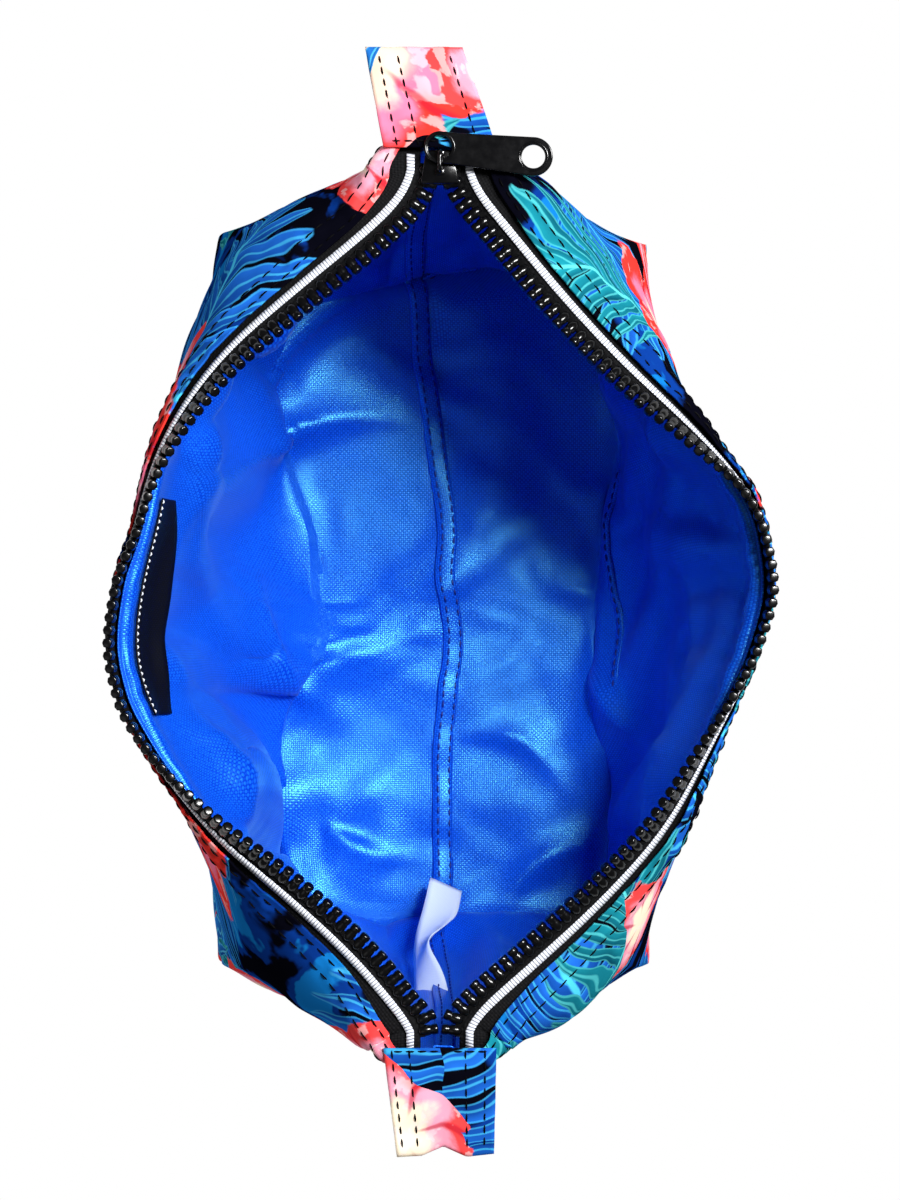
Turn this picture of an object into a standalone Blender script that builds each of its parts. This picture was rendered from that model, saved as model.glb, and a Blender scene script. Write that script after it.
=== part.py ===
"""Toiletry bag: a zip pouch with a boxed base, standing upright with its mouth spread open.

Metres, +Z up. +Y points to the end where the slider stands, +X to the side where its pull lies.
The origin is the middle of the base's underside. Every cloth layer is worked out from the same
sides: a column of cloth starts on the base's edge and ends at the zip, at the same share of the
way round both, as the cloth of the real bag does.
"""

import math

import bmesh
import bpy
import numpy as np

# The base, a flat rectangle with boxed corners
BASE_LENGTH = 0.186
BASE_WIDTH = 0.113
BASE_SHIFT = -0.0025

# The mouth, measured along and across the middle of the two rows of teeth
MOUTH_LENGTH = 0.209
MOUTH_WIDTH = 0.158
ZIP_HEIGHT = 0.106
ZIP_RISE = 0.009

# The cloth between the base and the zip
SHOULDER_REACH = 0.020
SHOULDER_DROP = 0.018
END_REACH = 0.009
END_DROP = 0.010
END_LAP = 0.0025
END_CLEAR = 0.0009
LINING_CUT = 0.0012
CLOTH_EDGE = 0.0062
SEAM_LAP = 0.0045
WALL_BULGE = 0.004
CLOTH = 0.001
GAP = 0.0003
LAYER_GAP = 0.0006

# The zip
TAPE = 0.0008
TAPE_TUCK = 0.0033
TAPE_OVERRUN = 0.0042
TAPE_END = 0.009
RIBBON_OVERRUN = 0.0038
TOOTH_PITCH = 0.003
TOOTH_LENGTH = 0.0024
TOOTH_ROOT = 0.0024
TOOTH_WIDTH = 0.0015
TOOTH_THICKNESS = 0.0022
RIBBON_WIDTH = 0.0024
RIBBON = 0.0005

# The slider and its pull
SLIDER_LENGTH = 0.008
SLIDER_WIDTH = 0.0093
SLIDER_TAIL = 0.0068
SLIDER_OVERRUN = 0.003
SLIDER_PLATE = 0.0012
SLIDER_NECK = 0.0011
BAIL_WIRE = 0.0006
BAIL_SPAN = 0.0044
BAIL_INSET = 0.0006
PULL_THICKNESS = 0.0012
PULL_REACH = 0.0224
PULL_EYE = 0.00285
PULL_RIM = 0.001
PULL_NECK = 0.0075
PULL_END = 0.0093
PULL_HOLE = 0.0028
PULL_EYE_OFFSET = 0.0011
PULL_TURN = -5.8

# The tabs at both ends, each a strip folded double
TAB_WIDTH = 0.027
TAB_LENGTH = 0.0245
FOOT_TAB_LENGTH = 0.0265
TAB_CLOTH = 0.0011
TAB_FOLD_GAP = 0.0006
TAB_DROOP = 0.003
TAB_NOTCH = 0.0026
HEAD_TAB_LEAN = -0.26
FOOT_TAB_LEAN = 0.08

# The labels
SIDE_LABEL_COLUMNS = 3
SIDE_LABEL_HEAD_SHARE = 0.12
SIDE_LABEL_FOOT_SHARE = 0.45
CARE_WIDTH = 0.009
CARE_LENGTH = 0.052
LABEL = 0.001

END_COLUMNS = 5
SIDE_COLUMNS = 20
LINE_STEPS = 601
EYE_SIDES = 14
ROUND_STEPS = 9
TAB_STEPS = 4
UP = np.array((0.0, 0.0, 1.0))


def columns(names, *rows):
    """A table with named columns, as arrays by name."""
    return dict(zip(names.split(), np.array(rows).T))


# The mouth from the slider's end to the other: how far each row of teeth stands out, as a share
# of half the mouth's width, and how far it is lifted, as a share of the rise.
MOUTH = columns(
    "along right left lift",
    (0.000, 0.036, 0.036, 0.00),
    (0.020, 0.040, 0.039, 0.00),
    (0.045, 0.075, 0.070, 0.02),
    (0.080, 0.150, 0.155, 0.10),
    (0.150, 0.300, 0.375, 0.35),
    (0.240, 0.520, 0.646, 0.65),
    (0.330, 0.790, 0.820, 0.85),
    (0.375, 0.912, 0.873, 0.92),
    (0.420, 0.972, 0.909, 0.97),
    (0.485, 1.000, 0.973, 1.00),
    (0.550, 0.958, 0.995, 1.00),
    (0.610, 0.881, 0.967, 0.95),
    (0.670, 0.785, 0.882, 0.85),
    (0.750, 0.652, 0.684, 0.65),
    (0.830, 0.461, 0.420, 0.35),
    (0.910, 0.230, 0.196, 0.10),
    (0.960, 0.085, 0.090, 0.02),
    (0.982, 0.040, 0.041, 0.00),
    (1.000, 0.036, 0.036, 0.00),
)

# The cloth beside the zip, by share of the zip's length: how far the shoulder stands outside the
# teeth and below them, the tape's slope in degrees (0 lies flat, 90 stands up), and how far the
# cloth's folded edge lies from the teeth.
SHOULDER = columns(
    "along right left drop right_tilt left_tilt edge",
    (0.00, 0.70, 0.72, 0.55, 0, 0, 1.60),
    (0.04, 0.85, 0.80, 0.58, 0, 0, 1.35),
    (0.10, 0.95, 0.90, 0.62, 12, 12, 1.05),
    (0.18, 0.80, 0.97, 0.65, 25, 25, 1.00),
    (0.26, 0.62, 0.60, 0.70, 38, 42, 1.00),
    (0.33, 0.34, 0.32, 0.85, 60, 62, 1.00),
    (0.40, 0.10, 0.08, 1.00, 84, 82, 1.00),
    (0.50, -0.04, 0.00, 1.00, 97, 95, 1.00),
    (0.60, 0.06, -0.02, 1.00, 86, 97, 1.00),
    (0.67, 0.20, 0.06, 0.90, 66, 84, 1.00),
    (0.74, 0.44, 0.42, 0.75, 45, 55, 1.00),
    (0.82, 0.75, 0.90, 0.65, 30, 28, 1.00),
    (0.90, 1.00, 1.08, 0.62, 12, 12, 1.05),
    (0.96, 0.82, 0.90, 0.58, 0, 0, 1.35),
    (1.00, 0.70, 0.72, 0.55, 0, 0, 1.60),
)

# The rows of cloth between base and shoulder: height as a share, and the bulge there.
WALL = columns(
    "height bulge",
    (0.05, 0.25),
    (0.28, 0.85),
    (0.52, 1.00),
    (0.78, 0.60),
)

# A tab across its width: the cut is the depth of the notch in its tip, as a share.
TAB_ACROSS = columns(
    "across cut",
    (-1.00, 0.0),
    (-0.50, 0.1),
    (-0.04, 1.0),
    (0.45, 0.0),
    (1.00, 0.3),
)

# Dents that lining and outer cloth share. Around is the share of the way round from the slider's
# end, clockwise from above; depth is a share of the wall's bulge.
DENTS = columns(
    "around height lean width length depth",
    (0.000, 0.50, 0.00, 0.024, 0.30, 0.9),
    (0.215, 0.45, 0.10, 0.030, 0.25, 1.2),
    (0.330, 0.60, -0.12, 0.026, 0.22, 1.1),
    (0.500, 0.50, 0.00, 0.024, 0.30, 0.9),
    (0.680, 0.55, 0.12, 0.028, 0.22, 1.2),
    (0.800, 0.50, -0.10, 0.030, 0.28, 1.1),
)

# Folds of the lining alone, which hangs looser than the outer cloth.
LINING_FOLDS = columns(
    "around height lean width length depth",
    (0.045, 0.40, 0.05, 0.020, 0.30, 1.2),
    (0.160, 0.50, -0.10, 0.022, 0.30, 1.0),
    (0.280, 0.45, 0.08, 0.022, 0.25, 1.1),
    (0.430, 0.35, -0.08, 0.022, 0.28, 1.2),
    (0.550, 0.35, 0.10, 0.022, 0.28, 1.0),
    (0.640, 0.50, 0.14, 0.022, 0.25, 1.6),
    (0.720, 0.55, -0.12, 0.022, 0.22, 1.3),
    (0.880, 0.50, 0.10, 0.022, 0.25, 1.2),
)

# The lining's floor: the pinched middle seam, as shares of the base's half width and length.
FLOOR_SEAM_HEIGHT = 0.003
FLOOR_SEAM_WIDTH = 0.09
FLOOR_RIPPLE = 0.0012
FLOOR_WAVES = 4.5

# The loose care label: share of its length, how far it has come in from the end wall, how far
# it has dropped and swung to the side, and how far its width is turned, in degrees.
CARE_HANG = columns(
    "along inward drop aside turn",
    (0.00, 0.00, 0.00, 0.00, 0),
    (0.15, 0.10, 0.13, -0.04, 35),
    (0.35, 0.22, 0.33, -0.10, 60),
    (0.55, 0.32, 0.53, -0.04, 38),
    (0.78, 0.42, 0.72, 0.04, 20),
    (1.00, 0.54, 0.90, 0.10, 14),
)
CARE_SEAM = 0.4


def smooth(table, column, at):
    """A smooth line through one column of a table that never swings past its rows."""
    xs, ys = table["along"], table[column]
    steps = np.diff(xs)
    slopes = np.diff(ys) / steps
    tangents = np.concatenate(([slopes[0]], np.zeros(len(xs) - 2), [slopes[-1]]))
    product = slopes[:-1] * slopes[1:]
    rising = product > 0
    tangents[1:-1][rising] = 2 * product[rising] / (slopes[:-1] + slopes[1:])[rising]
    k = np.clip(np.searchsorted(xs, at, side="right") - 1, 0, len(xs) - 2)
    t = (at - xs[k]) / steps[k]
    start = (1 + 2 * t) * (1 - t) ** 2 * ys[k] + t * (1 - t) ** 2 * steps[k] * tangents[k]
    end = t**2 * (3 - 2 * t) * ys[k + 1] + t**2 * (t - 1) * steps[k] * tangents[k + 1]
    return start + end


def side_name(side):
    return "right" if side > 0 else "left"


def mouth_line(side):
    """The middle of one row of teeth as a fine line, with the length run at each point."""
    along = np.linspace(0, 1, LINE_STEPS)
    line = np.stack(
        (
            side * MOUTH_WIDTH / 2 * smooth(MOUTH, side_name(side), along),
            MOUTH_LENGTH * (0.5 - along),
            ZIP_HEIGHT + ZIP_RISE * smooth(MOUTH, "lift", along),
        ),
        axis=1,
    )
    run = np.concatenate(([0], np.cumsum(np.linalg.norm(np.diff(line, axis=0), axis=1))))
    return line, run


LINES = {side: mouth_line(side) for side in (1, -1)}


def zip_station(side, share):
    """Where the zip is at a share of its length: its place, outward, tape slope and cloth edge."""
    line, run = LINES[side]
    place = np.array([np.interp(share * run[-1], run, line[:, i]) for i in range(3)])
    ahead = [np.interp(share * run[-1] + TOOTH_PITCH, run, line[:, i]) for i in range(2)]
    behind = [np.interp(share * run[-1] - TOOTH_PITCH, run, line[:, i]) for i in range(2)]
    heading = np.subtract(ahead, behind) / np.linalg.norm(np.subtract(ahead, behind))
    outward = side * np.array((-heading[1], heading[0], 0))
    name = side_name(side)
    return {
        "place": place,
        "outward": outward,
        "tilt": math.radians(smooth(SHOULDER, name + "_tilt", share)),
        "edge": CLOTH_EDGE * smooth(SHOULDER, "edge", share),
        "lap": SEAM_LAP,
        "reach": SHOULDER_REACH * smooth(SHOULDER, name, share),
        "drop": SHOULDER_DROP * smooth(SHOULDER, "drop", share),
    }


def end_station(side, across, end):
    """The same at the end wall, under the tab, where no zip runs."""
    return {
        "place": np.array((side * across, end * MOUTH_LENGTH / 2, ZIP_HEIGHT)),
        "outward": np.array((0.0, end, 0.0)),
        "tilt": 0.0,
        "edge": SLIDER_OVERRUN + LINING_CUT + END_CLEAR,
        "lap": END_LAP,
        "reach": END_REACH,
        "drop": END_DROP,
    }


def tape_axes(station):
    """Down the tape, away from the teeth, and out of its outer face."""
    across, rise = math.cos(station["tilt"]), math.sin(station["tilt"])
    return station["outward"] * across - UP * rise, station["outward"] * rise + UP * across


def half_columns():
    """The columns of one half of the bag, end seam to end seam, as lengths run along the base."""
    end = np.linspace(0, BASE_WIDTH / 2, END_COLUMNS + 1)
    side = BASE_WIDTH / 2 + np.linspace(0, BASE_LENGTH, SIDE_COLUMNS + 1)
    far = BASE_WIDTH / 2 + BASE_LENGTH + end
    return np.concatenate((end, side[1:], far[1:]))


HALF = half_columns()
COUNT = 2 * (len(HALF) - 1)


def base_point(side, run, inset, height):
    """A point of the base's edge, by the length run round it from the slider's end."""
    half_width, half_length = BASE_WIDTH / 2, BASE_LENGTH / 2
    x = min(run, half_width, HALF[-1] - run)
    y = half_length - min(max(run - half_width, 0), BASE_LENGTH)
    near_x, near_y = half_width - inset, half_length - inset
    x_inset = x * near_x / half_width
    y_inset = y * near_y / half_length
    return np.array((side * x_inset + BASE_SHIFT, y_inset, height))


def top_station(side, run):
    """The zip or end wall above a column, at the same share of the way round as its foot."""
    length = LINES[side][1][-1]
    top_run = run / HALF[-1] * (length + TAB_WIDTH)
    if top_run <= TAB_WIDTH / 2:
        return end_station(side, top_run, 1)
    if top_run >= length + TAB_WIDTH / 2:
        return end_station(side, length + TAB_WIDTH - top_run, -1)
    return zip_station(side, (top_run - TAB_WIDTH / 2) / length)


def dent(table, around, height):
    """How far the folds of a table push the cloth inwards at a place, as a share."""
    turn = around - table["around"] - table["lean"] * (height - table["height"])
    turn -= np.round(turn)
    rise = (height - table["height"]) / table["length"]
    return float(np.sum(table["depth"] * np.exp(-((turn / table["width"]) ** 2) - rise**2)))


def cloth_column(side, run, layer):
    """The points of one column of a cloth layer, from the base's edge up to its top edge."""
    station = top_station(side, run)
    down, face = tape_axes(station)
    outward = station["outward"]
    foot = base_point(side, run, layer["wall"], layer["floor"])
    shoulder = station["place"] + outward * station["reach"] - UP * station["drop"]
    shoulder -= (outward + UP) / math.sqrt(2) * layer["wall"]
    share = run / HALF[-1] / 2
    around = share if side > 0 else 1 - share
    points = [foot]
    for height, bulge in zip(WALL["height"], WALL["bulge"]):
        push = bulge - dent(DENTS, around, height) - layer["slack"] * dent(LINING_FOLDS, around, height)
        points.append(foot + (shoulder - foot) * height + outward * WALL_BULGE * push)
    points.append(shoulder)
    lap = station["place"] + face * layer["face"]
    turn = layer["wall"] * math.cos(station["tilt"])
    points.append(lap + down * (station["edge"] + station["lap"] - turn))
    points.append(lap + down * (station["edge"] - layer["cut"]))
    return points


def floor_lift(layer, across, along):
    """How far the lining's floor stands up: its pinched seam and the ripples beside it."""
    if not layer["slack"]:
        return 0.0
    seam = FLOOR_SEAM_HEIGHT * math.exp(-((across / FLOOR_SEAM_WIDTH) ** 2))
    fade = (1 - across**2) * (1 - along**2)
    wave = math.sin(FLOOR_WAVES * (across + along)) * math.cos(FLOOR_WAVES * (along - across))
    return fade * (seam + FLOOR_RIPPLE * (1 + wave))


def cloth_surface(layer):
    """A whole layer of cloth as an open surface: the floor, and the walls up to the zip."""
    half = len(HALF) - 1
    rings = [cloth_column(1, run, layer) for run in HALF[:-1]]
    rings += [cloth_column(-1, run, layer) for run in HALF[:0:-1]]
    levels = len(rings[0])
    points = [rings[k][level] for level in range(levels) for k in range(COUNT)]
    faces = []
    for level in range(levels - 1):
        for k in range(COUNT):
            low, high, step = level * COUNT, (level + 1) * COUNT, (k + 1) % COUNT
            faces.append((low + k, high + k, high + step, low + step))
    across = 2 * END_COLUMNS
    first_inner = len(points)

    def floor_index(j, i):
        if j == 0:
            return (i - END_COLUMNS) % COUNT
        if j == SIDE_COLUMNS:
            return half + END_COLUMNS - i
        if i == across:
            return END_COLUMNS + j
        if i == 0:
            return COUNT - END_COLUMNS - j
        return first_inner + (j - 1) * (across - 1) + i - 1

    for j in range(1, SIDE_COLUMNS):
        left, right = points[floor_index(j, 0)], points[floor_index(j, across)]
        for i in range(1, across):
            share_x, share_y = 2 * i / across - 1, 2 * j / SIDE_COLUMNS - 1
            lift = floor_lift(layer, share_x, share_y)
            points.append(left + (right - left) * i / across + UP * lift)
    for j in range(SIDE_COLUMNS):
        for i in range(across):
            corners = ((j, i), (j, i + 1), (j + 1, i + 1), (j + 1, i))
            faces.append(tuple(floor_index(*corner) for corner in corners))
    return points, faces


SHELL_LAYER = {
    "wall": 0.0,
    "floor": 0.0,
    "face": TAPE / 2 + LAYER_GAP + CLOTH,
    "slack": 0.0,
    "cut": 0.0,
}
LINING_LAYER = {
    "wall": CLOTH + 2 * LAYER_GAP + TAPE,
    "floor": CLOTH + GAP,
    "face": -(TAPE / 2 + LAYER_GAP),
    "slack": 1.0,
    "cut": LINING_CUT,
}


def zip_stations(side):
    """The zip's stations, one at each column of cloth that reaches it and one at each end."""
    length = LINES[side][1][-1]
    top_runs = HALF / HALF[-1] * (length + TAB_WIDTH) - TAB_WIDTH / 2
    shares = [run / length for run in top_runs if TOOTH_PITCH < run < length - TOOTH_PITCH]
    return [zip_station(side, share) for share in (0.0, *shares, 1.0)]


def zip_strip(side, inner, outer_of, end_outer, overrun):
    """An open strip that follows the zip between two distances from the middle of its teeth, and
    runs on under the tabs."""
    stations = zip_stations(side)
    rows = []
    for at in stations:
        down, face = tape_axes(at)
        rows.append((at["place"] + down * inner, at["place"] + down * outer_of(at), face))
    for end, place in ((1, 0), (-1, len(rows) + 1)):
        at = stations[0] if end > 0 else stations[-1]
        far = at["place"] + np.array((0, end * overrun, 0))
        across = np.array((side, 0, 0))
        rows.insert(place, (far + across * inner, far + across * end_outer, UP))
    return rows


def tape_outer(station):
    """The tape's outer edge, tucked behind the cloth's folded edge, less so towards its ends."""
    tuck = TAPE_TUCK * min(1, (CLOTH_EDGE / station["edge"]) ** 3)
    return station["edge"] + tuck


def make_object(name, points, faces, material, parts):
    mesh = bpy.data.meshes.new(name)
    mesh.from_pydata([tuple(point) for point in points], [], faces)
    mesh.materials.append(material)
    made = bpy.data.objects.new(name, mesh)
    parts.objects.link(made)
    return made


def solidify(made, thickness, offset):
    wall = made.modifiers.new("Wall", "SOLIDIFY")
    wall.thickness = thickness
    wall.offset = offset
    wall.use_quality_normals = True
    return made


def make_strip(name, side, rows, thickness, lift, material, parts):
    """A flat band from its rows of inner and outer points, with its thickness about its middle."""
    points, faces = [], []
    for inner, outer, face in rows:
        points += [inner + face * lift, outer + face * lift]
    for k in range(len(rows) - 1):
        quad = (2 * k, 2 * k + 1, 2 * k + 3, 2 * k + 2)
        faces.append(quad if side < 0 else quad[::-1])
    return solidify(make_object(name, points, faces, material, parts), thickness, 0)


def run_along(stations, lengths, at):
    """The zip's place and axes at a length run along its stations."""
    places = np.array([station["place"] for station in stations])
    axes = np.array([tape_axes(station) for station in stations])
    place = np.array([np.interp(at, lengths, places[:, i]) for i in range(3)])
    down = np.array([np.interp(at, lengths, axes[:, 0, i]) for i in range(3)])
    return place, down / np.linalg.norm(down)


def make_teeth(side, material, parts):
    """One row of moulded teeth on its cord, as one comb."""
    stations = zip_stations(side)
    places = np.array([station["place"] for station in stations])
    lengths = np.concatenate(([0], np.cumsum(np.linalg.norm(np.diff(places, axis=0), axis=1))))
    count = int(lengths[-1] / TOOTH_PITCH)
    pitch = lengths[-1] / count
    points, faces = [], []

    def add(at, distance):
        place, down = run_along(stations, lengths, at)
        points.append(place + down * distance)

    for k in range(count + 1):
        start = k * pitch
        add(start, TOOTH_ROOT)
        add(start, 0)
        if k == count:
            break
        tooth = start + (pitch - TOOTH_WIDTH) / 2
        add(tooth, 0)
        add(tooth + TOOTH_WIDTH, 0)
        add(tooth + TOOTH_WIDTH, -TOOTH_LENGTH)
        add(tooth, -TOOTH_LENGTH)
        back, root, near, far, far_tip, near_tip = range(6 * k, 6 * k + 6)
        faces.append((root, near, far, 6 * k + 7, 6 * k + 6, back))
        faces.append((near, near_tip, far_tip, far))
    if side > 0:
        faces = [face[::-1] for face in faces]
    made = make_object(f"zip_teeth_{side_name(side)}", points, faces, material, parts)
    return solidify(made, TOOTH_THICKNESS, 0)


def make_tab(name, end, start, length, lean, notch, material, parts):
    """A strip folded double over its tip: the upper layer covers the zip's end, the lower layer
    runs back to the end wall."""
    mid = tab_top() - TAB_CLOTH / 2
    bend = (TAB_CLOTH + TAB_FOLD_GAP) / 2
    wall_face = END_REACH + GAP + CLOTH
    lower = MOUTH_LENGTH / 2 + wall_face - start
    straight = length - bend - TAB_CLOTH / 2
    path = [(out, bend) for out in np.linspace(0, straight, TAB_STEPS, endpoint=False)]
    path += [
        (straight + bend * math.sin(turn), bend * math.cos(turn))
        for turn in np.linspace(0, math.pi, TAB_STEPS)
    ]
    path += [(out, -bend) for out in np.linspace(straight, lower, TAB_STEPS)[1:]]
    points, faces = [], []
    for out, rise in path:
        tip = max(out, 0) / length
        for share, cut in zip(TAB_ACROSS["across"], TAB_ACROSS["cut"]):
            x = share * TAB_WIDTH / 2 + lean * out
            y = end * (start + out - notch * cut * tip)
            points.append((x, y, mid - bend + rise - TAB_DROOP * tip**2))
    width = len(TAB_ACROSS["across"])
    for k in range(len(path) - 1):
        for i in range(width - 1):
            low = k * width + i
            quad = (low, low + 1, low + width + 1, low + width)
            faces.append(quad if end > 0 else quad[::-1])
    return solidify(make_object(name, points, faces, material, parts), TAB_CLOTH, 0)


def make_box(name, low, high, parts, narrow=1.0):
    """A block between two corners, whose +Y end may be narrower."""
    shape = bmesh.new()
    bmesh.ops.create_cube(shape, size=1)
    low, high = np.array(low), np.array(high)
    for corner in shape.verts:
        place = (low + high) / 2 + (high - low) * np.array(corner.co)
        if corner.co.y > 0:
            place[0] *= narrow
        corner.co = place
    mesh = bpy.data.meshes.new(name)
    shape.to_mesh(mesh)
    shape.free()
    made = bpy.data.objects.new(name, mesh)
    parts.objects.link(made)
    return made


def apply_modifiers(made):
    """Turns an object, mesh or curve, into the mesh that its modifiers give."""
    graph = bpy.context.evaluated_depsgraph_get()
    mesh = bpy.data.meshes.new_from_object(made.evaluated_get(graph))
    shape = bmesh.new()
    shape.from_mesh(mesh)
    bmesh.ops.remove_doubles(shape, verts=shape.verts, dist=1e-6)
    shape.to_mesh(mesh)
    shape.free()
    placed = bpy.data.objects.new(made.name, mesh)
    placed.matrix_world = made.matrix_world
    made.users_collection[0].objects.link(placed)
    name = made.name
    bpy.data.objects.remove(made)
    placed.name = name
    return placed


def join(made, others):
    """Fuses closed meshes into one body."""
    for other in others:
        union = made.modifiers.new("Union", "BOOLEAN")
        union.operation = "UNION"
        union.object = other
        other.hide_render = True
        other.display_type = "WIRE"


def make_slider(material, parts, cutters):
    """The slider: two plates joined by a neck between the rows of teeth, and the bail on top."""
    back = MOUTH_LENGTH / 2 + SLIDER_OVERRUN
    front = back - SLIDER_LENGTH
    half = SLIDER_WIDTH / 2
    inner = TOOTH_THICKNESS / 2 + GAP
    narrow = SLIDER_TAIL / SLIDER_WIDTH
    top = make_box(
        "slider",
        (-half, front, ZIP_HEIGHT + inner),
        (half, back, ZIP_HEIGHT + inner + SLIDER_PLATE),
        parts,
        narrow,
    )
    top.data.materials.append(material)
    bottom = make_box(
        "slider_lower_plate",
        (-half, front, ZIP_HEIGHT - inner - SLIDER_PLATE),
        (half, back, ZIP_HEIGHT - inner),
        cutters,
        narrow,
    )
    neck_half = SLIDER_NECK / 2
    overlap = SLIDER_PLATE / 2
    neck = make_box(
        "slider_neck",
        (-neck_half, front + GAP, ZIP_HEIGHT - inner - overlap),
        (neck_half, front + GAP + SLIDER_NECK, ZIP_HEIGHT + inner + overlap),
        cutters,
    )
    join(top, [bottom, neck, make_bail(cutters)])
    return top


def plate_top():
    """The height of the slider's upper face."""
    return ZIP_HEIGHT + TOOTH_THICKNESS / 2 + GAP + SLIDER_PLATE


def tab_top():
    """The height of the upper face of a tab, which lies on the outer cloth's edge."""
    return ZIP_HEIGHT + SHELL_LAYER["face"] + GAP + TAB_CLOTH


def pull_height():
    """The height of the pull's underside, which clears both the slider and the tab."""
    return max(plate_top(), tab_top()) + GAP


def make_bail(cutters):
    """The wire loop that holds the pull: it stands on the top plate and runs along the zip."""
    rear = MOUTH_LENGTH / 2 + SLIDER_OVERRUN - BAIL_INSET
    foot = plate_top() - SLIDER_PLATE / 2
    top = pull_height() + PULL_THICKNESS + GAP + BAIL_WIRE
    round_off = BAIL_WIRE
    path = (
        (rear, foot),
        (rear, top - round_off),
        (rear - round_off, top),
        (rear - BAIL_SPAN + round_off, top),
        (rear - BAIL_SPAN, top - round_off),
        (rear - BAIL_SPAN, foot),
    )
    curve = bpy.data.curves.new("slider_bail", "CURVE")
    curve.dimensions = "3D"
    curve.bevel_depth = BAIL_WIRE
    curve.bevel_resolution = 2
    curve.use_fill_caps = True
    wire = curve.splines.new("POLY")
    wire.points.add(len(path) - 1)
    for point, (y, z) in zip(wire.points, path):
        point.co = (0, y, z, 1)
    made = bpy.data.objects.new("slider_bail", curve)
    cutters.objects.link(made)
    return apply_modifiers(made)


def circle(centre, radius, count):
    angles = np.linspace(0, 2 * math.pi, count, endpoint=False)
    return [(centre + radius * math.cos(a), radius * math.sin(a)) for a in angles]


def make_pull(material, parts):
    """The flat pull: an eye round the bail, an arm that widens to a round end, and a hole in it."""
    eye_outer = PULL_EYE + PULL_RIM
    end = PULL_END / 2
    shoulder = math.acos(min(1, PULL_NECK / 2 / eye_outer))
    turns = np.linspace((math.pi + shoulder) / 2, (3 * math.pi - shoulder) / 2, ROUND_STEPS)
    outline = [(eye_outer * math.cos(a), eye_outer * math.sin(a)) for a in turns]
    outline.append((eye_outer, -PULL_NECK / 2))
    turns = np.linspace(-math.pi / 2, math.pi / 2, ROUND_STEPS)
    outline += [(PULL_REACH + end * math.cos(a), end * math.sin(a)) for a in turns]
    outline.append((eye_outer, PULL_NECK / 2))
    curve = bpy.data.curves.new("zip_pull", "CURVE")
    curve.dimensions = "2D"
    curve.fill_mode = "BOTH"
    curve.extrude = PULL_THICKNESS / 2
    holes = [circle(0, PULL_EYE, EYE_SIDES), circle(PULL_REACH, PULL_HOLE, EYE_SIDES)]
    for ring in (outline, *holes):
        spline = curve.splines.new("POLY")
        spline.points.add(len(ring) - 1)
        for point, (x, y) in zip(spline.points, ring):
            point.co = (x, y, 0, 1)
        spline.use_cyclic_u = True
    curve.materials.append(material)
    made = bpy.data.objects.new("zip_pull", curve)
    made.location = (0, pull_axis_y(), pull_height() + PULL_THICKNESS / 2)
    made.rotation_euler.z = math.radians(PULL_TURN)
    parts.objects.link(made)
    return made


def pull_axis_y():
    """The pull swivels about its eye's middle, just behind the bail's rear leg."""
    return MOUTH_LENGTH / 2 + SLIDER_OVERRUN - BAIL_INSET + PULL_EYE_OFFSET


def make_side_label(material, parts):
    """The woven label, flat on the lining of the left wall under the zip."""
    rings = [cloth_column(-1, run, LINING_LAYER) for run in HALF]
    middle = len(HALF) // 2
    rows = []
    for k in range(middle - SIDE_LABEL_COLUMNS, middle + SIDE_LABEL_COLUMNS + 1):
        wall, shoulder, seam = rings[k][-4:-1]
        inward = np.cross(seam - shoulder, rings[k + 1][-3] - rings[k - 1][-3])
        lift = inward / np.linalg.norm(inward) * (CLOTH + GAP + LABEL / 2)
        head = seam + (shoulder - seam) * SIDE_LABEL_HEAD_SHARE
        foot = shoulder + (wall - shoulder) * SIDE_LABEL_FOOT_SHARE
        rows.append((head + lift, shoulder + lift, foot + lift))
    points = [point for row in rows for point in row]
    faces = []
    for k in range(len(rows) - 1):
        for i in range(2):
            low = 3 * k + i
            faces.append((low, low + 1, low + 4, low + 3))
    return solidify(make_object("side_label", points, faces, material, parts), LABEL, 0)


def make_care_label(material, parts):
    """The loose ribbon sewn into the end seam opposite the slider, which hangs and twists."""
    wall = cloth_column(1, HALF[-1], LINING_LAYER)
    start = wall[3] + (wall[4] - wall[3]) * CARE_SEAM
    start[1] += CLOTH + GAP + LABEL / 2
    points, faces = [], []
    for k, along in enumerate(CARE_HANG["along"]):
        inward, drop, aside, turn = (CARE_HANG[n][k] for n in ("inward", "drop", "aside", "turn"))
        middle = start + CARE_LENGTH * np.array((aside, inward, -drop))
        turned = math.radians(turn)
        across = np.array((math.cos(turned), math.sin(turned), 0)) * CARE_WIDTH / 2
        points += [middle - across, middle, middle + across]
        if k:
            low = 3 * k - 3
            faces += [(low, low + 1, low + 4, low + 3), (low + 1, low + 2, low + 5, low + 4)]
    return solidify(make_object("care_label", points, faces, material, parts), LABEL, 0)


def make_material(name, colour, roughness, metallic=0.0):
    made = bpy.data.materials.new(name)
    made.use_nodes = True
    shader = made.node_tree.nodes["Principled BSDF"]
    shader.inputs["Base Color"].default_value = (*colour, 1)
    shader.inputs["Roughness"].default_value = roughness
    shader.inputs["Metallic"].default_value = metallic
    made.diffuse_color = (*colour, 1)
    return made


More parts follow.
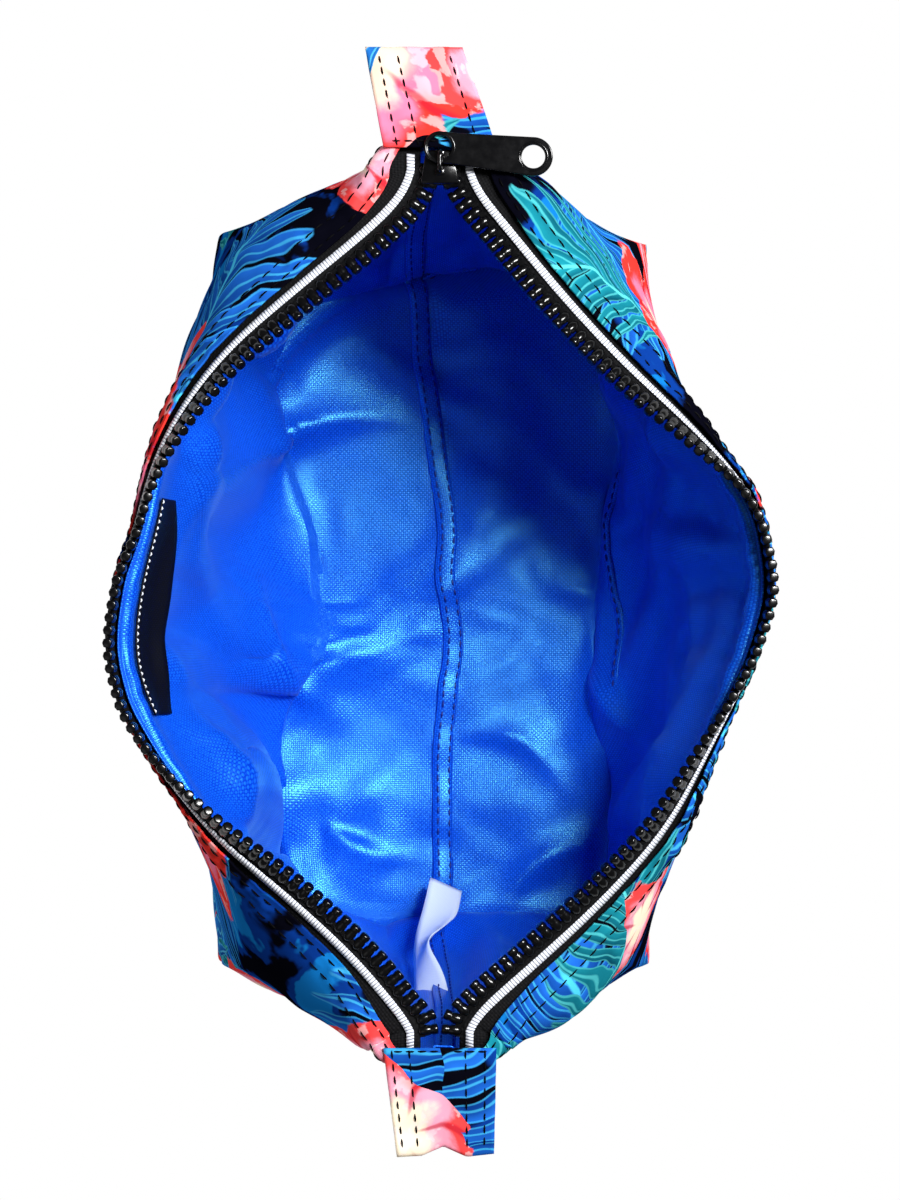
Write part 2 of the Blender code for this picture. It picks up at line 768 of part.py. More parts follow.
def main():
    for old in list(bpy.data.objects):
        bpy.data.objects.remove(old)
    parts = bpy.data.collections.new("toiletry_bag")
    cutters = bpy.data.collections.new("joined_shapes")
    for group in (parts, cutters):
        bpy.context.scene.collection.children.link(group)
    print_cloth = make_material("printed_satin", (0.02, 0.05, 0.16), 0.35)
    lining_cloth = make_material("blue_lining", (0.0, 0.06, 0.62), 0.4)
    tape_cloth = make_material("black_tape", (0.01, 0.01, 0.012), 0.8)
    ribbon_cloth = make_material("white_ribbon", (0.85, 0.86, 0.9), 0.6)
    black_plastic = make_material("black_plastic", (0.012, 0.012, 0.013), 0.3)
    black_metal = make_material("black_metal", (0.012, 0.012, 0.014), 0.22, 0.6)
    label_cloth = make_material("label_cloth", (0.012, 0.012, 0.015), 0.6)
    care_cloth = make_material("care_ribbon", (0.6, 0.72, 0.95), 0.5)

    shell = make_object("outer_shell", *cloth_surface(SHELL_LAYER), print_cloth, parts)
    solidify(shell, CLOTH, -1)
    lining = make_object("lining", *cloth_surface(LINING_LAYER), lining_cloth, parts)
    solidify(lining, CLOTH, -1)

    tape_inner = TOOTH_ROOT + GAP
    ribbon_inner = tape_inner + GAP
    ribbon_outer = ribbon_inner + RIBBON_WIDTH
    for side in (1, -1):
        name = side_name(side)
        tape = zip_strip(side, tape_inner, tape_outer, TAPE_END, TAPE_OVERRUN)
        make_strip(f"zip_tape_{name}", side, tape, TAPE, 0, tape_cloth, parts)
        ribbon = zip_strip(side, ribbon_inner, lambda at: ribbon_outer, ribbon_outer, RIBBON_OVERRUN)
        lift = TAPE / 2 + LAYER_GAP + RIBBON / 2
        make_strip(f"zip_ribbon_{name}", side, ribbon, RIBBON, lift, ribbon_cloth, parts)
        make_teeth(side, black_plastic, parts)

    make_slider(black_metal, parts, cutters)
    make_pull(black_metal, parts)
    head_start = MOUTH_LENGTH / 2 + SLIDER_OVERRUN + 2 * GAP
    foot_start = MOUTH_LENGTH / 2 + END_LAP
    make_tab("head_tab", 1, head_start, TAB_LENGTH, HEAD_TAB_LEAN, 0, print_cloth, parts)
    make_tab("foot_tab", -1, foot_start, FOOT_TAB_LENGTH, FOOT_TAB_LEAN, TAB_NOTCH, print_cloth, parts)
    make_side_label(label_cloth, parts)
    make_care_label(care_cloth, parts)


main()
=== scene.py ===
"""The looks of an open toiletry bag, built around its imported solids.

Metres, +Z up, +Y towards the slider, +X to the side where the pull lies. The cloth follows the
rule of the solids: a column of cloth runs from the base's edge up to the zip, at the same share
of the way round both, and this script makes it finely, with its folds, puckers and stitches.
"""

import math

import bmesh
import bpy
import numpy as np
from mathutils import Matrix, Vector


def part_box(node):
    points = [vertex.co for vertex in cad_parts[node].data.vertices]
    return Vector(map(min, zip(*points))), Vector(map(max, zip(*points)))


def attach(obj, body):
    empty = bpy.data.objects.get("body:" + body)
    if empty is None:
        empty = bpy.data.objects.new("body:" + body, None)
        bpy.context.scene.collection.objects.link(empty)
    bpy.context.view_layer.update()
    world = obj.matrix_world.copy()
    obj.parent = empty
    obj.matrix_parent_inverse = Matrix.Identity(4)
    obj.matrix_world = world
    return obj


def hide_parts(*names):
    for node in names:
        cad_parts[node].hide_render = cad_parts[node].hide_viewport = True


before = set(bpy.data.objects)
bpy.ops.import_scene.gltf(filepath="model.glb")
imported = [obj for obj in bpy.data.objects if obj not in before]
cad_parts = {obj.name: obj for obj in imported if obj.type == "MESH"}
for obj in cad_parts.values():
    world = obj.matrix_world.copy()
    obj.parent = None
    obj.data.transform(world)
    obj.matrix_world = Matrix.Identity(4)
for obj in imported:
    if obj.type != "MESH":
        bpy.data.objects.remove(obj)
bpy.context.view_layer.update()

# Sizes that the solids share
BASE_LENGTH = 0.186
BASE_WIDTH = 0.113
BASE_SHIFT = -0.0025
MOUTH_LENGTH = 0.209
MOUTH_WIDTH = 0.158
ZIP_HEIGHT = 0.106
ZIP_RISE = 0.009
SHOULDER_REACH = 0.020
SHOULDER_DROP = 0.018
END_REACH = 0.009
END_DROP = 0.010
END_LAP = 0.0025
END_EDGE = 0.0051
LINING_CUT = 0.0012
CLOTH_EDGE = 0.0062
SEAM_LAP = 0.0045
WALL_BULGE = 0.004
TAB_WIDTH = 0.027
TAB_DROOP = 0.003
TAB_TAPER = 0.14
TAPE = 0.0008
TAPE_TUCK = 0.0033
TAPE_OVERRUN = 0.0042
TAPE_END = 0.009
TOOTH_PITCH = 0.003
TOOTH_ROOT = 0.0024
RIBBON_WIDTH = 0.0019
RIBBON_INNER = 0.0030
RIBBON_OVERRUN = 0.0038
CARE_WIDTH = 0.009
CARE_LENGTH = 0.052
SLIDER_LENGTH = 0.008
SLIDER_WIDTH = 0.0093
SLIDER_TAIL = 0.0068
SLIDER_OVERRUN = 0.003
SLIDER_PLATE = 0.0012
SLIDER_INNER = 0.0014
BAIL_WIRE = 0.0006
BAIL_SPAN = 0.0044
PULL_THICKNESS = 0.0012
PULL_REACH = 0.0224
PULL_EYE = 0.00285
PULL_RIM = 0.001
PULL_NECK = 0.0075
PULL_END = 0.0093
PULL_HOLE = 0.0028
PULL_TURN = -5.8
PULL_AXIS = (0.0, 0.108, 0.1103)

# The fine cloth: columns across an end and along a side, and rows between the main levels
SHELL_COLUMNS = (46, 148)
SHELL_ROWS = (2, 6, 6, 6, 7, 13, 14)
LINING_COLUMNS = (17, 56)
LINING_ROWS = (2, 6, 7, 8, 7, 6, 4)
SHELL_CLOTH = 0.0005
INWARD_SHARE = 0.35
LINING_CLOTH = 0.0004
SHELL_FACE = 0.0020
LINING_FACE = -0.0010
LINING_INSET = 0.0030
LINING_FLOOR = 0.0015
LINING_LOWEST = 0.0006
CORD_RADIUS = 0.0008
CORD_DEPTH = 0.0014
RIB_PITCH = 0.0008
RIBBON_EASE = 70
RIB_RISE = 0.00014
RIBBON_LIFT = 0.0004
RIBBON_THICKNESS = 0.0004
TAPE_THICKNESS = 0.0006
TAPE_INSET = 0.0006
LABEL_THICKNESS = 0.0004
LABEL_GAP = 0.0007
LABEL_BELLY = 0.0046
CARE_THICKNESS = 0.00025
HEAD_LAP = 0.0036
HEAD_LENGTH = 0.0245
HEAD_LEAN = -0.26
FOOT_LENGTH = 0.0265
FOOT_LEAN = 0.05
FOOT_NOTCH = 0.0026
LINING_EXCESS = 0.028
LINING_STIFFNESS = 1.5
OUTWARD_ROOM = 0.0014
CORNER_SLACK = 0.5
SETTLE_FRAMES = 24
HEM_ROWS = 5
CONTACT_GAP = 0.0004
SIDE_LABEL_LENGTH = 0.054
SIDE_LABEL_HEAD = 0.007
SIDE_LABEL_FOOT = 0.020
STITCH = 0.0028
STITCH_PITCH = 0.0035
THREAD = 0.00045
TOPSTITCH_DEPTHS = (0.0016, 0.0056)
SEAM_STITCH = 0.0020
FINE_STITCH = 0.0022
FINE_PITCH = 0.0028
SEAM_CLOTH = 0.0004

UP = np.array((0.0, 0.0, 1.0))


def columns(names, *rows):
    """A table with named columns, as arrays by name."""
    return dict(zip(names.split(), np.array(rows).T))


# The mouth from the slider's end to the other: how far each row of teeth stands out, as a share
# of half the mouth's width, and how far it is lifted, as a share of the rise.
MOUTH = columns(
    "along right left lift",
    (0.000, 0.036, 0.036, 0.00),
    (0.020, 0.040, 0.039, 0.00),
    (0.045, 0.075, 0.070, 0.02),
    (0.080, 0.150, 0.155, 0.10),
    (0.150, 0.300, 0.375, 0.35),
    (0.240, 0.520, 0.646, 0.65),
    (0.330, 0.790, 0.820, 0.85),
    (0.375, 0.912, 0.873, 0.92),
    (0.420, 0.972, 0.909, 0.97),
    (0.485, 1.000, 0.973, 1.00),
    (0.550, 0.958, 0.995, 1.00),
    (0.610, 0.881, 0.967, 0.95),
    (0.670, 0.785, 0.882, 0.85),
    (0.750, 0.652, 0.684, 0.65),
    (0.830, 0.461, 0.420, 0.35),
    (0.910, 0.230, 0.196, 0.10),
    (0.960, 0.085, 0.090, 0.02),
    (0.982, 0.040, 0.041, 0.00),
    (1.000, 0.036, 0.036, 0.00),
)

# The cloth beside the zip, by share of the zip's length: how far the shoulder stands outside the
# teeth and below them, the tape's slope in degrees, and how far the cloth's edge lies from them.
SHOULDER = columns(
    "along right left drop right_tilt left_tilt edge",
    (0.00, 0.70, 0.72, 0.55, 0, 0, 1.60),
    (0.04, 0.85, 0.80, 0.58, 0, 0, 1.35),
    (0.10, 0.95, 0.90, 0.62, 12, 12, 1.05),
    (0.18, 0.80, 0.97, 0.65, 25, 25, 1.00),
    (0.26, 0.62, 0.60, 0.70, 38, 42, 1.00),
    (0.33, 0.34, 0.32, 0.85, 60, 62, 1.00),
    (0.40, 0.10, 0.08, 1.00, 84, 82, 1.00),
    (0.50, -0.04, 0.00, 1.00, 97, 95, 1.00),
    (0.60, 0.06, -0.02, 1.00, 86, 97, 1.00),
    (0.67, 0.20, 0.06, 0.90, 66, 84, 1.00),
    (0.74, 0.44, 0.42, 0.75, 45, 55, 1.00),
    (0.82, 0.75, 0.90, 0.65, 30, 28, 1.00),
    (0.90, 1.00, 1.08, 0.62, 12, 12, 1.05),
    (0.96, 0.82, 0.90, 0.58, 0, 0, 1.35),
    (1.00, 0.70, 0.72, 0.55, 0, 0, 1.60),
)

# The heights of the wall's rows as shares, and the bulge at each.
WALL = columns(
    "height bulge",
    (0.05, 0.25),
    (0.28, 0.85),
    (0.52, 1.00),
    (0.78, 0.60),
)

# Dents that both cloths share. Around is the share of the way round from the slider's end,
# clockwise from above; depth is a share of the wall's bulge.
DENTS = columns(
    "around height lean width length depth",
    (0.000, 0.50, 0.00, 0.024, 0.30, 0.9),
    (0.215, 0.45, 0.10, 0.030, 0.25, 1.2),
    (0.330, 0.60, -0.12, 0.026, 0.22, 1.1),
    (0.500, 0.50, 0.00, 0.024, 0.30, 0.9),
    (0.680, 0.55, 0.12, 0.028, 0.22, 1.2),
    (0.800, 0.50, -0.10, 0.030, 0.28, 1.1),
)

# Folds of the lining alone.
LINING_FOLDS = columns(
    "around height lean width length depth",
    (0.045, 0.40, 0.05, 0.020, 0.30, 1.2),
    (0.160, 0.50, -0.10, 0.022, 0.30, 1.0),
    (0.280, 0.45, 0.08, 0.022, 0.25, 1.1),
    (0.430, 0.35, -0.08, 0.022, 0.28, 1.2),
    (0.550, 0.35, 0.10, 0.022, 0.28, 1.0),
    (0.640, 0.50, 0.14, 0.022, 0.25, 1.6),
    (0.720, 0.55, -0.12, 0.022, 0.22, 1.3),
    (0.880, 0.50, 0.10, 0.022, 0.25, 1.2),
)

# How far the loose lining has slid in over the floor from each long side, in metres.
LINING_SAG = columns(
    "around width depth",
    (0.25, 0.11, 0.010),
    (0.75, 0.13, 0.024),
)

# Crisp creases of the lining, seen from above. The middle is given in shares of half the base's
# width and length, half the crease's length and the width of its gentle side, which lies to the
# left of its heading, in shares of half the base's length, and its depth in shares of its width.
LINING_CREASES = columns(
    "x y heading length width depth",
    (-0.85, -0.51, -57, 0.28, 0.17, 0.50),
    (-1.10, -0.45, 45, 0.13, 0.11, 0.55),
    (-0.87, -0.37, 184, 0.11, 0.09, 0.50),
    (-0.81, -0.13, 115, 0.17, 0.14, 0.48),
    (-1.13, 0.43, -59, 0.16, 0.11, 0.60),
    (-0.76, 0.45, 30, 0.22, 0.16, 0.47),
    (-0.71, 0.73, 50, 0.22, 0.13, 0.50),
    (-0.42, -0.69, 150, 0.13, 0.10, 0.38),
    (0.34, -0.40, -24, 0.12, 0.09, 0.35),
    (0.78, -0.26, 112, 0.14, 0.10, 0.44),
    (0.46, -0.75, 35, 0.13, 0.10, 0.31),
)

# A tooth from its root to its head: how far each step runs, and how much wider and higher it
# ends, as shares.
TOOTH_STEPS = (
    (0.0006, 0.86, 0.84),
    (0.0003, 0.90, 1.00),
    (0.0003, 1.20, 1.16),
    (0.0012, 1.00, 1.00),
    (0.0002, 0.82, 0.80),
)

# A tab across its width: the cut is the depth of the notch in its tip, as a share.
TAB_ACROSS = columns(
    "across cut",
    (-1.00, 0.0),
    (-0.50, 0.1),
    (-0.04, 1.0),
    (0.45, 0.0),
    (1.00, 0.3),
)

# The loose care label: share of its length, how far it has come in from the end wall, how far
# it has dropped and swung to the side, and how far its width is turned, in degrees.
CARE_HANG = columns(
    "along inward drop aside turn",
    (0.00, 0.00, 0.00, 0.00, 10),
    (0.15, 0.10, 0.13, -0.02, 35),
    (0.35, 0.22, 0.33, -0.06, 66),
    (0.55, 0.32, 0.53, -0.02, 30),
    (0.78, 0.42, 0.72, 0.03, -6),
    (1.00, 0.54, 0.90, 0.06, -24),
)


def hermite(t, span, low, high, low_slope, high_slope):
    """A smooth line between two values with these slopes, at shares t of the span."""
    start = (1 + 2 * t) * (1 - t) ** 2 * low + t * (1 - t) ** 2 * span * low_slope
    end = t**2 * (3 - 2 * t) * high + t**2 * (t - 1) * span * high_slope
    return start + end


def smooth(table, column, at):
    """A smooth line through one column of a table that never swings past its rows."""
    xs, ys = table["along"], table[column]
    steps = np.diff(xs)
    slopes = np.diff(ys) / steps
    tangents = np.concatenate(([slopes[0]], np.zeros(len(xs) - 2), [slopes[-1]]))
    product = slopes[:-1] * slopes[1:]
    rising = product > 0
    tangents[1:-1][rising] = 2 * product[rising] / (slopes[:-1] + slopes[1:])[rising]
    k = np.clip(np.searchsorted(xs, at, side="right") - 1, 0, len(xs) - 2)
    t = (at - xs[k]) / steps[k]
    return hermite(t, steps[k], ys[k], ys[k + 1], tangents[k], tangents[k + 1])


def unit(vectors):
    return vectors / np.linalg.norm(vectors, axis=-1, keepdims=True)


def run_along(line):
    """The length run along a line of points at each of them."""
    return np.concatenate(([0], np.cumsum(np.linalg.norm(np.diff(line, axis=0), axis=1))))


def at_lengths(lengths, run, values):
    """Values in three columns, read at these lengths of a run."""
    return np.stack([np.interp(lengths, run, values[:, i]) for i in range(3)], axis=-1)


def side_name(side):
    return "right" if side > 0 else "left"


def mouth_line(side):
    """The middle of one row of teeth as a fine line, with the length run at each point."""
    along = np.linspace(0, 1, 601)
    line = np.stack(
        (
            side * MOUTH_WIDTH / 2 * smooth(MOUTH, side_name(side), along),
            MOUTH_LENGTH * (0.5 - along),
            ZIP_HEIGHT + ZIP_RISE * smooth(MOUTH, "lift", along),
        ),
        axis=1,
    )
    return line, run_along(line)


LINES = {side: mouth_line(side) for side in (1, -1)}
ZIP_RUN = {side: LINES[side][1][-1] for side in (1, -1)}


def line_point(side, lengths):
    line, run = LINES[side]
    return at_lengths(lengths, run, line)


def zip_frames(side, lengths):
    """Along the zip at these lengths: place, outward, tape slope, cloth edge and shoulder."""
    reach = 0.003
    heading = line_point(side, lengths + reach) - line_point(side, lengths - reach)
    heading[:, 2] = 0
    heading = unit(heading)
    outward = side * np.stack((-heading[:, 1], heading[:, 0], 0 * lengths), axis=1)
    share = lengths / ZIP_RUN[side]
    name = side_name(side)
    return {
        "place": line_point(side, lengths),
        "outward": outward,
        "tilt": np.radians(smooth(SHOULDER, name + "_tilt", share)),
        "edge": CLOTH_EDGE * smooth(SHOULDER, "edge", share),
        "lap": np.full(len(lengths), SEAM_LAP),
        "reach": SHOULDER_REACH * smooth(SHOULDER, name, share),
        "drop": SHOULDER_DROP * smooth(SHOULDER, "drop", share),
    }


def end_frames(side, across, end):
    """The same at the end wall, under the tab, where no zip runs."""
    count = len(across)
    ends = np.full(count, float(end))
    none = np.zeros(count)
    height = np.full(count, ZIP_HEIGHT)
    return {
        "place": np.stack((side * across, ends * MOUTH_LENGTH / 2, height), axis=1),
        "outward": np.stack((none, ends, none), axis=1),
        "tilt": none,
        "edge": none + END_EDGE,
        "lap": none + END_LAP,
        "reach": none + END_REACH,
        "drop": none + END_DROP,
    }


def tape_axes(frames):
    """Down the tape, away from the teeth, and out of its outer face."""
    across, rise = np.cos(frames["tilt"])[:, None], np.sin(frames["tilt"])[:, None]
    return frames["outward"] * across - UP * rise, frames["outward"] * rise + UP * across


class Ring:
    """The columns of cloth round the bag, clockwise from the slider's end."""

    def __init__(self, end_columns, side_columns):
        self.end, self.along = end_columns, side_columns
        end = np.linspace(0, BASE_WIDTH / 2, end_columns + 1)
        side = BASE_WIDTH / 2 + np.linspace(0, BASE_LENGTH, side_columns + 1)
        half = np.concatenate((end, side[1:], BASE_WIDTH / 2 + BASE_LENGTH + end[1:]))
        self.half = half[-1]
        self.count = 2 * (len(half) - 1)
        self.run = np.concatenate((half[:-1], half[:0:-1]))
        self.side = np.repeat((1, -1), self.count // 2)
        self.around = np.where(self.side > 0, self.run, 2 * self.half - self.run) / self.half / 2

    def top_runs(self):
        """How far along the top each column lies, and the top's length there."""
        length = np.where(self.side > 0, ZIP_RUN[1], ZIP_RUN[-1]) + TAB_WIDTH
        return self.run / self.half * length, length

    def frames(self):
        """What lies above each column, at the same share of the way round as its foot."""
        half_tab = TAB_WIDTH / 2
        top_run, _ = self.top_runs()
        parts = []
        for side in (1, -1):
            own = self.side == side
            runs, zip_run = top_run[own], ZIP_RUN[side]
            over = zip_frames(side, np.clip(runs - half_tab, 0, zip_run))
            near = end_frames(side, runs, 1)
            far = end_frames(side, zip_run + TAB_WIDTH - runs, -1)
            is_near, is_far = runs <= half_tab, runs >= zip_run + half_tab
            for key, values in over.items():
                wide = values.ndim > 1
                at_near = is_near[:, None] if wide else is_near
                at_far = is_far[:, None] if wide else is_far
                over[key] = np.where(at_near, near[key], np.where(at_far, far[key], values))
            parts.append(over)
        return {key: np.concatenate([part[key] for part in parts]) for key in parts[0]}

    def base_edge(self, inset, height):
        """The base's edge, a point for each column."""
        half_width, half_length = BASE_WIDTH / 2, BASE_LENGTH / 2
        x = np.minimum(half_width, np.minimum(self.run, self.half - self.run))
        y = half_length - np.clip(self.run - half_width, 0, BASE_LENGTH)
        x = self.side * x * (half_width - inset) / half_width + BASE_SHIFT
        y = y * (half_length - inset) / half_length
        return np.stack((x, y, np.full(self.count, height)), axis=1)

    def soften(self, values, sigma):
        """Smooths values round the ring with a bell of this many columns."""
        reach = np.minimum(np.arange(self.count), self.count - np.arange(self.count))
        bell = np.exp(-0.5 * (reach / sigma) ** 2)
        bell = np.fft.rfft(bell / bell.sum())
        turned = np.fft.rfft(values, axis=0)
        return np.fft.irfft(turned * bell[:, None], n=self.count, axis=0)

    def round_tab_corners(self, levels):
        """Rounds the turn that the cloth takes under the edges of the tabs."""
        top_run, length = self.top_runs()
        near, far = abs(top_run - TAB_WIDTH / 2), abs(length - TAB_WIDTH / 2 - top_run)
        spread, softness = 0.006, 0.0058
        share = np.exp(-((np.minimum(near, far) / spread) ** 2))[:, None]
        sigma = softness / (BASE_LENGTH / self.along)
        for i in range(1, len(levels)):
            levels[i] = levels[i] * (1 - share) + self.soften(levels[i], sigma) * share
        return levels

    def levels(self, face, inset, floor, slack, cut):
        """The main levels of a cloth layer, from the base's edge to its top edge, by column."""
        at = self.frames()
        down, out = tape_axes(at)
        outward = at["outward"]

        def by(values):
            return np.asarray(values)[:, None]

        sag = slack * np.sum(
            LINING_SAG["depth"]
            * np.exp(-(((self.around[:, None] - LINING_SAG["around"]) / LINING_SAG["width"]) ** 2)),
            axis=1,
        )
        foot = self.base_edge(inset, floor) - outward * by(sag)
        shoulder = at["place"] + outward * by(at["reach"]) - UP * by(at["drop"])
        shoulder = shoulder - (outward + UP) / math.sqrt(2) * inset
        levels = [foot]
        for height, bulge in zip(WALL["height"], WALL["bulge"]):
            push = bulge - dent(DENTS, self.around, height)
            push = push - slack * dent(LINING_FOLDS, self.around, height)
            push = push - slack * CORNER_SLACK * math.exp(-(((height - 0.10) / 0.26) ** 2))
            push = push + sag / WALL_BULGE * ((1 - height) - (1 - height) ** 2.5)
            levels.append(foot + (shoulder - foot) * height + outward * WALL_BULGE * by(push))
        levels.append(shoulder)
        lap = at["place"] + out * face
        turn = inset * np.cos(at["tilt"])
        levels.append(lap + down * by(at["edge"] + at["lap"] - turn))
        levels.append(lap + down * by(at["edge"] - cut))
        return self.round_tab_corners(np.array(levels))

    def floor(self, foot):
        """The floor's points, inside its edge, row by row from the slider's end."""
        across = 2 * self.end
        t = (np.arange(1, across) / across)[:, None]
        rows = []
        for j in range(1, self.along):
            right, left = foot[self.end + j], foot[self.count - self.end - j]
            rows.append(left + (right - left) * t)
        return np.array(rows)

    def faces(self, rows):
        """The faces of walls and floor: the walls' points come first, row by row."""
        column = np.arange(self.count)
        after = (column + 1) % self.count
        faces = []
        for row in range(rows - 1):
            low, high = row * self.count, (row + 1) * self.count
            faces.append(np.stack((low + column, high + column, high + after, low + after), axis=1))
        across, half = 2 * self.end, self.count // 2
        index = np.empty((self.along + 1, across + 1), int)
        index[0] = (np.arange(across + 1) - self.end) % self.count
        index[-1] = half + self.end - np.arange(across + 1)
        inner = rows * self.count + np.arange((self.along - 1) * (across - 1))
        index[1:-1, 1:-1] = inner.reshape(self.along - 1, across - 1)
        index[1:-1, -1] = self.end + np.arange(1, self.along)
        index[1:-1, 0] = self.count - self.end - np.arange(1, self.along)
        quads = (index[:-1, :-1], index[:-1, 1:], index[1:, 1:], index[1:, :-1])
        faces.append(np.stack([quad.ravel() for quad in quads], axis=1))
        return np.concatenate(faces)


def dent(table, around, height):
    """How far the folds of a table push the cloth inwards at a place, as a share."""
    turn = around[:, None] - table["around"] - table["lean"] * (height - table["height"])
    turn -= np.round(turn)
    rise = (height - table["height"]) / table["length"]
    return np.sum(table["depth"] * np.exp(-((turn / table["width"]) ** 2) - rise**2), axis=1)


def fine_rows(levels, segment_rows):
    """Runs a smooth line up each column through its main levels, with many rows."""
    spans = np.linalg.norm(np.diff(levels, axis=0), axis=2)[:, :, None]
    slopes = np.diff(levels, axis=0) / spans
    tangents = np.empty_like(levels)
    tangents[0], tangents[-1] = slopes[0], slopes[-1]
    before, after = spans[:-1], spans[1:]
    tangents[1:-1] = (slopes[:-1] * after + slopes[1:] * before) / (before + after)
    rows = [levels[:1]]
    for i, count in enumerate(segment_rows):
        t = (np.arange(1, count + 1) / count)[:, None, None]
        ends = levels[i], levels[i + 1], tangents[i], tangents[i + 1]
        rows.append(hermite(t, spans[i], *ends))
    return np.concatenate(rows)


def wall_normals(grid):
    """The outward direction at each point of a wall."""
    around = np.roll(grid, -1, axis=1) - np.roll(grid, 1, axis=1)
    upward = np.gradient(grid, axis=0)
    return unit(np.cross(upward, around))


def column_lengths(grid):
    """The length run up each column at each row."""
    steps = np.linalg.norm(np.diff(grid, axis=0), axis=2)
    return np.concatenate((np.zeros((1, grid.shape[1])), np.cumsum(steps, axis=0)))


def field(u, v, size, seed, count=14):
    """A smooth uneven field with bumps of about this size, near -1 to 1."""
    random = np.random.default_rng(seed)
    total = np.zeros(np.broadcast(u, v).shape)
    for _ in range(count):
        turn, phase = random.uniform(0, 2 * math.pi, 2)
        wave = 2 * math.pi / (size * random.uniform(0.7, 1.5))
        total += np.sin((u * math.cos(turn) + v * math.sin(turn)) * wave + phase)
    return total * math.sqrt(2 / count) / 2


def add_object(name, data):
    made = bpy.data.objects.new(name, data)
    bpy.context.scene.collection.objects.link(made)
    return made


def bevelled_curve(name, dimensions, radius, resolution):
    """An empty curve whose lines get a round edge of this radius."""
    curve = bpy.data.curves.new(name, "CURVE")
    curve.dimensions = dimensions
    curve.bevel_depth = radius
    curve.bevel_resolution = resolution
    return curve


def curve_to_mesh(name, curve):
    select_only(add_object(name, curve))
    bpy.ops.object.convert(target="MESH")
    return bpy.context.object


def make_mesh(name, points, faces, material, uvs=None):
    """A mesh object from arrays; the UVs are given for each corner of each face."""
    mesh = bpy.data.meshes.new(name)
    mesh.from_pydata(np.asarray(points).tolist(), [], np.asarray(faces).tolist())
    if uvs is not None:
        layer = mesh.uv_layers.new(name="UVMap")
        layer.data.foreach_set("uv", np.asarray(uvs, np.float32).ravel())
    mesh.materials.append(material)
    mesh.shade_smooth()
    return add_object(name, mesh)


def wrap_uvs(uvs, faces, period):
    """UVs for each corner of a face, with none stretched across the seam of a ring."""
    corners = uvs[faces]
    low = corners[:, :, 0].min(axis=1, keepdims=True)
    crossing = corners[:, :, 0] - low > period / 2
    corners[:, :, 0] = np.where(crossing, corners[:, :, 0] - period, corners[:, :, 0])
    return corners


def apply_modifier(made, kind, **settings):
    """Adds one modifier and applies it."""
    modifier = made.modifiers.new(kind.title(), kind)
    for key, value in settings.items():
        setattr(modifier, key, value)
    select_only(made)
    bpy.ops.object.modifier_apply(modifier=modifier.name)


def thicken(made, thickness, offset=-1):
    """Gives an open surface its thickness, inwards or, with no offset, to both sides."""
    apply_modifier(
        made, "SOLIDIFY", thickness=thickness, offset=offset, use_quality_normals=True
    )


def select_only(made):
    bpy.ops.object.select_all(action="DESELECT")
    made.select_set(True)
    bpy.context.view_layer.objects.active = made


class Signal:
    """A socket of a material's node tree that takes part in plain arithmetic."""

    def __init__(self, tree, socket):
        self.tree = tree
        self.socket = socket

    def math(self, operation, *others, clamp=False):
        node = self.tree.nodes.new("ShaderNodeMath")
        node.operation = operation
        node.use_clamp = clamp
        for plug, value in zip(node.inputs, (self, *others)):
            feed(self.tree, plug, value)
        return Signal(self.tree, node.outputs[0])

    def __add__(self, other):
        return self.math("ADD", other)

    def __sub__(self, other):
        return self.math("SUBTRACT", other)

    def __mul__(self, other):
        return self.math("MULTIPLY", other)

    def __truediv__(self, other):
        return self.math("DIVIDE", other)

    def __rsub__(self, other):
        return self.math("MULTIPLY_ADD", -1.0, other)

    __radd__ = __add__
    __rmul__ = __mul__

    def __abs__(self):
        return self.math("ABSOLUTE")

    def sine(self):
        return self.math("SINE")

    def fraction(self):
        return self.math("FRACT")

    def above(self, edge, softness):
        """0 below the edge, 1 above it, with a soft step between."""
        node = self.tree.nodes.new("ShaderNodeMapRange")
        node.interpolation_type = "SMOOTHSTEP"
        feed(self.tree, node.inputs["Value"], self)
        feed(self.tree, node.inputs["From Min"], edge - softness)
        feed(self.tree, node.inputs["From Max"], edge + softness)
        return Signal(self.tree, node.outputs["Result"])


def feed(tree, plug, value):
    """Gives a socket a link or a plain value."""
    if isinstance(value, Signal):
        tree.links.new(value.socket, plug)
    elif isinstance(value, tuple) and len(value) == 3 and len(plug.default_value) == 4:
        plug.default_value = (*value, 1.0)
    else:
        plug.default_value = value


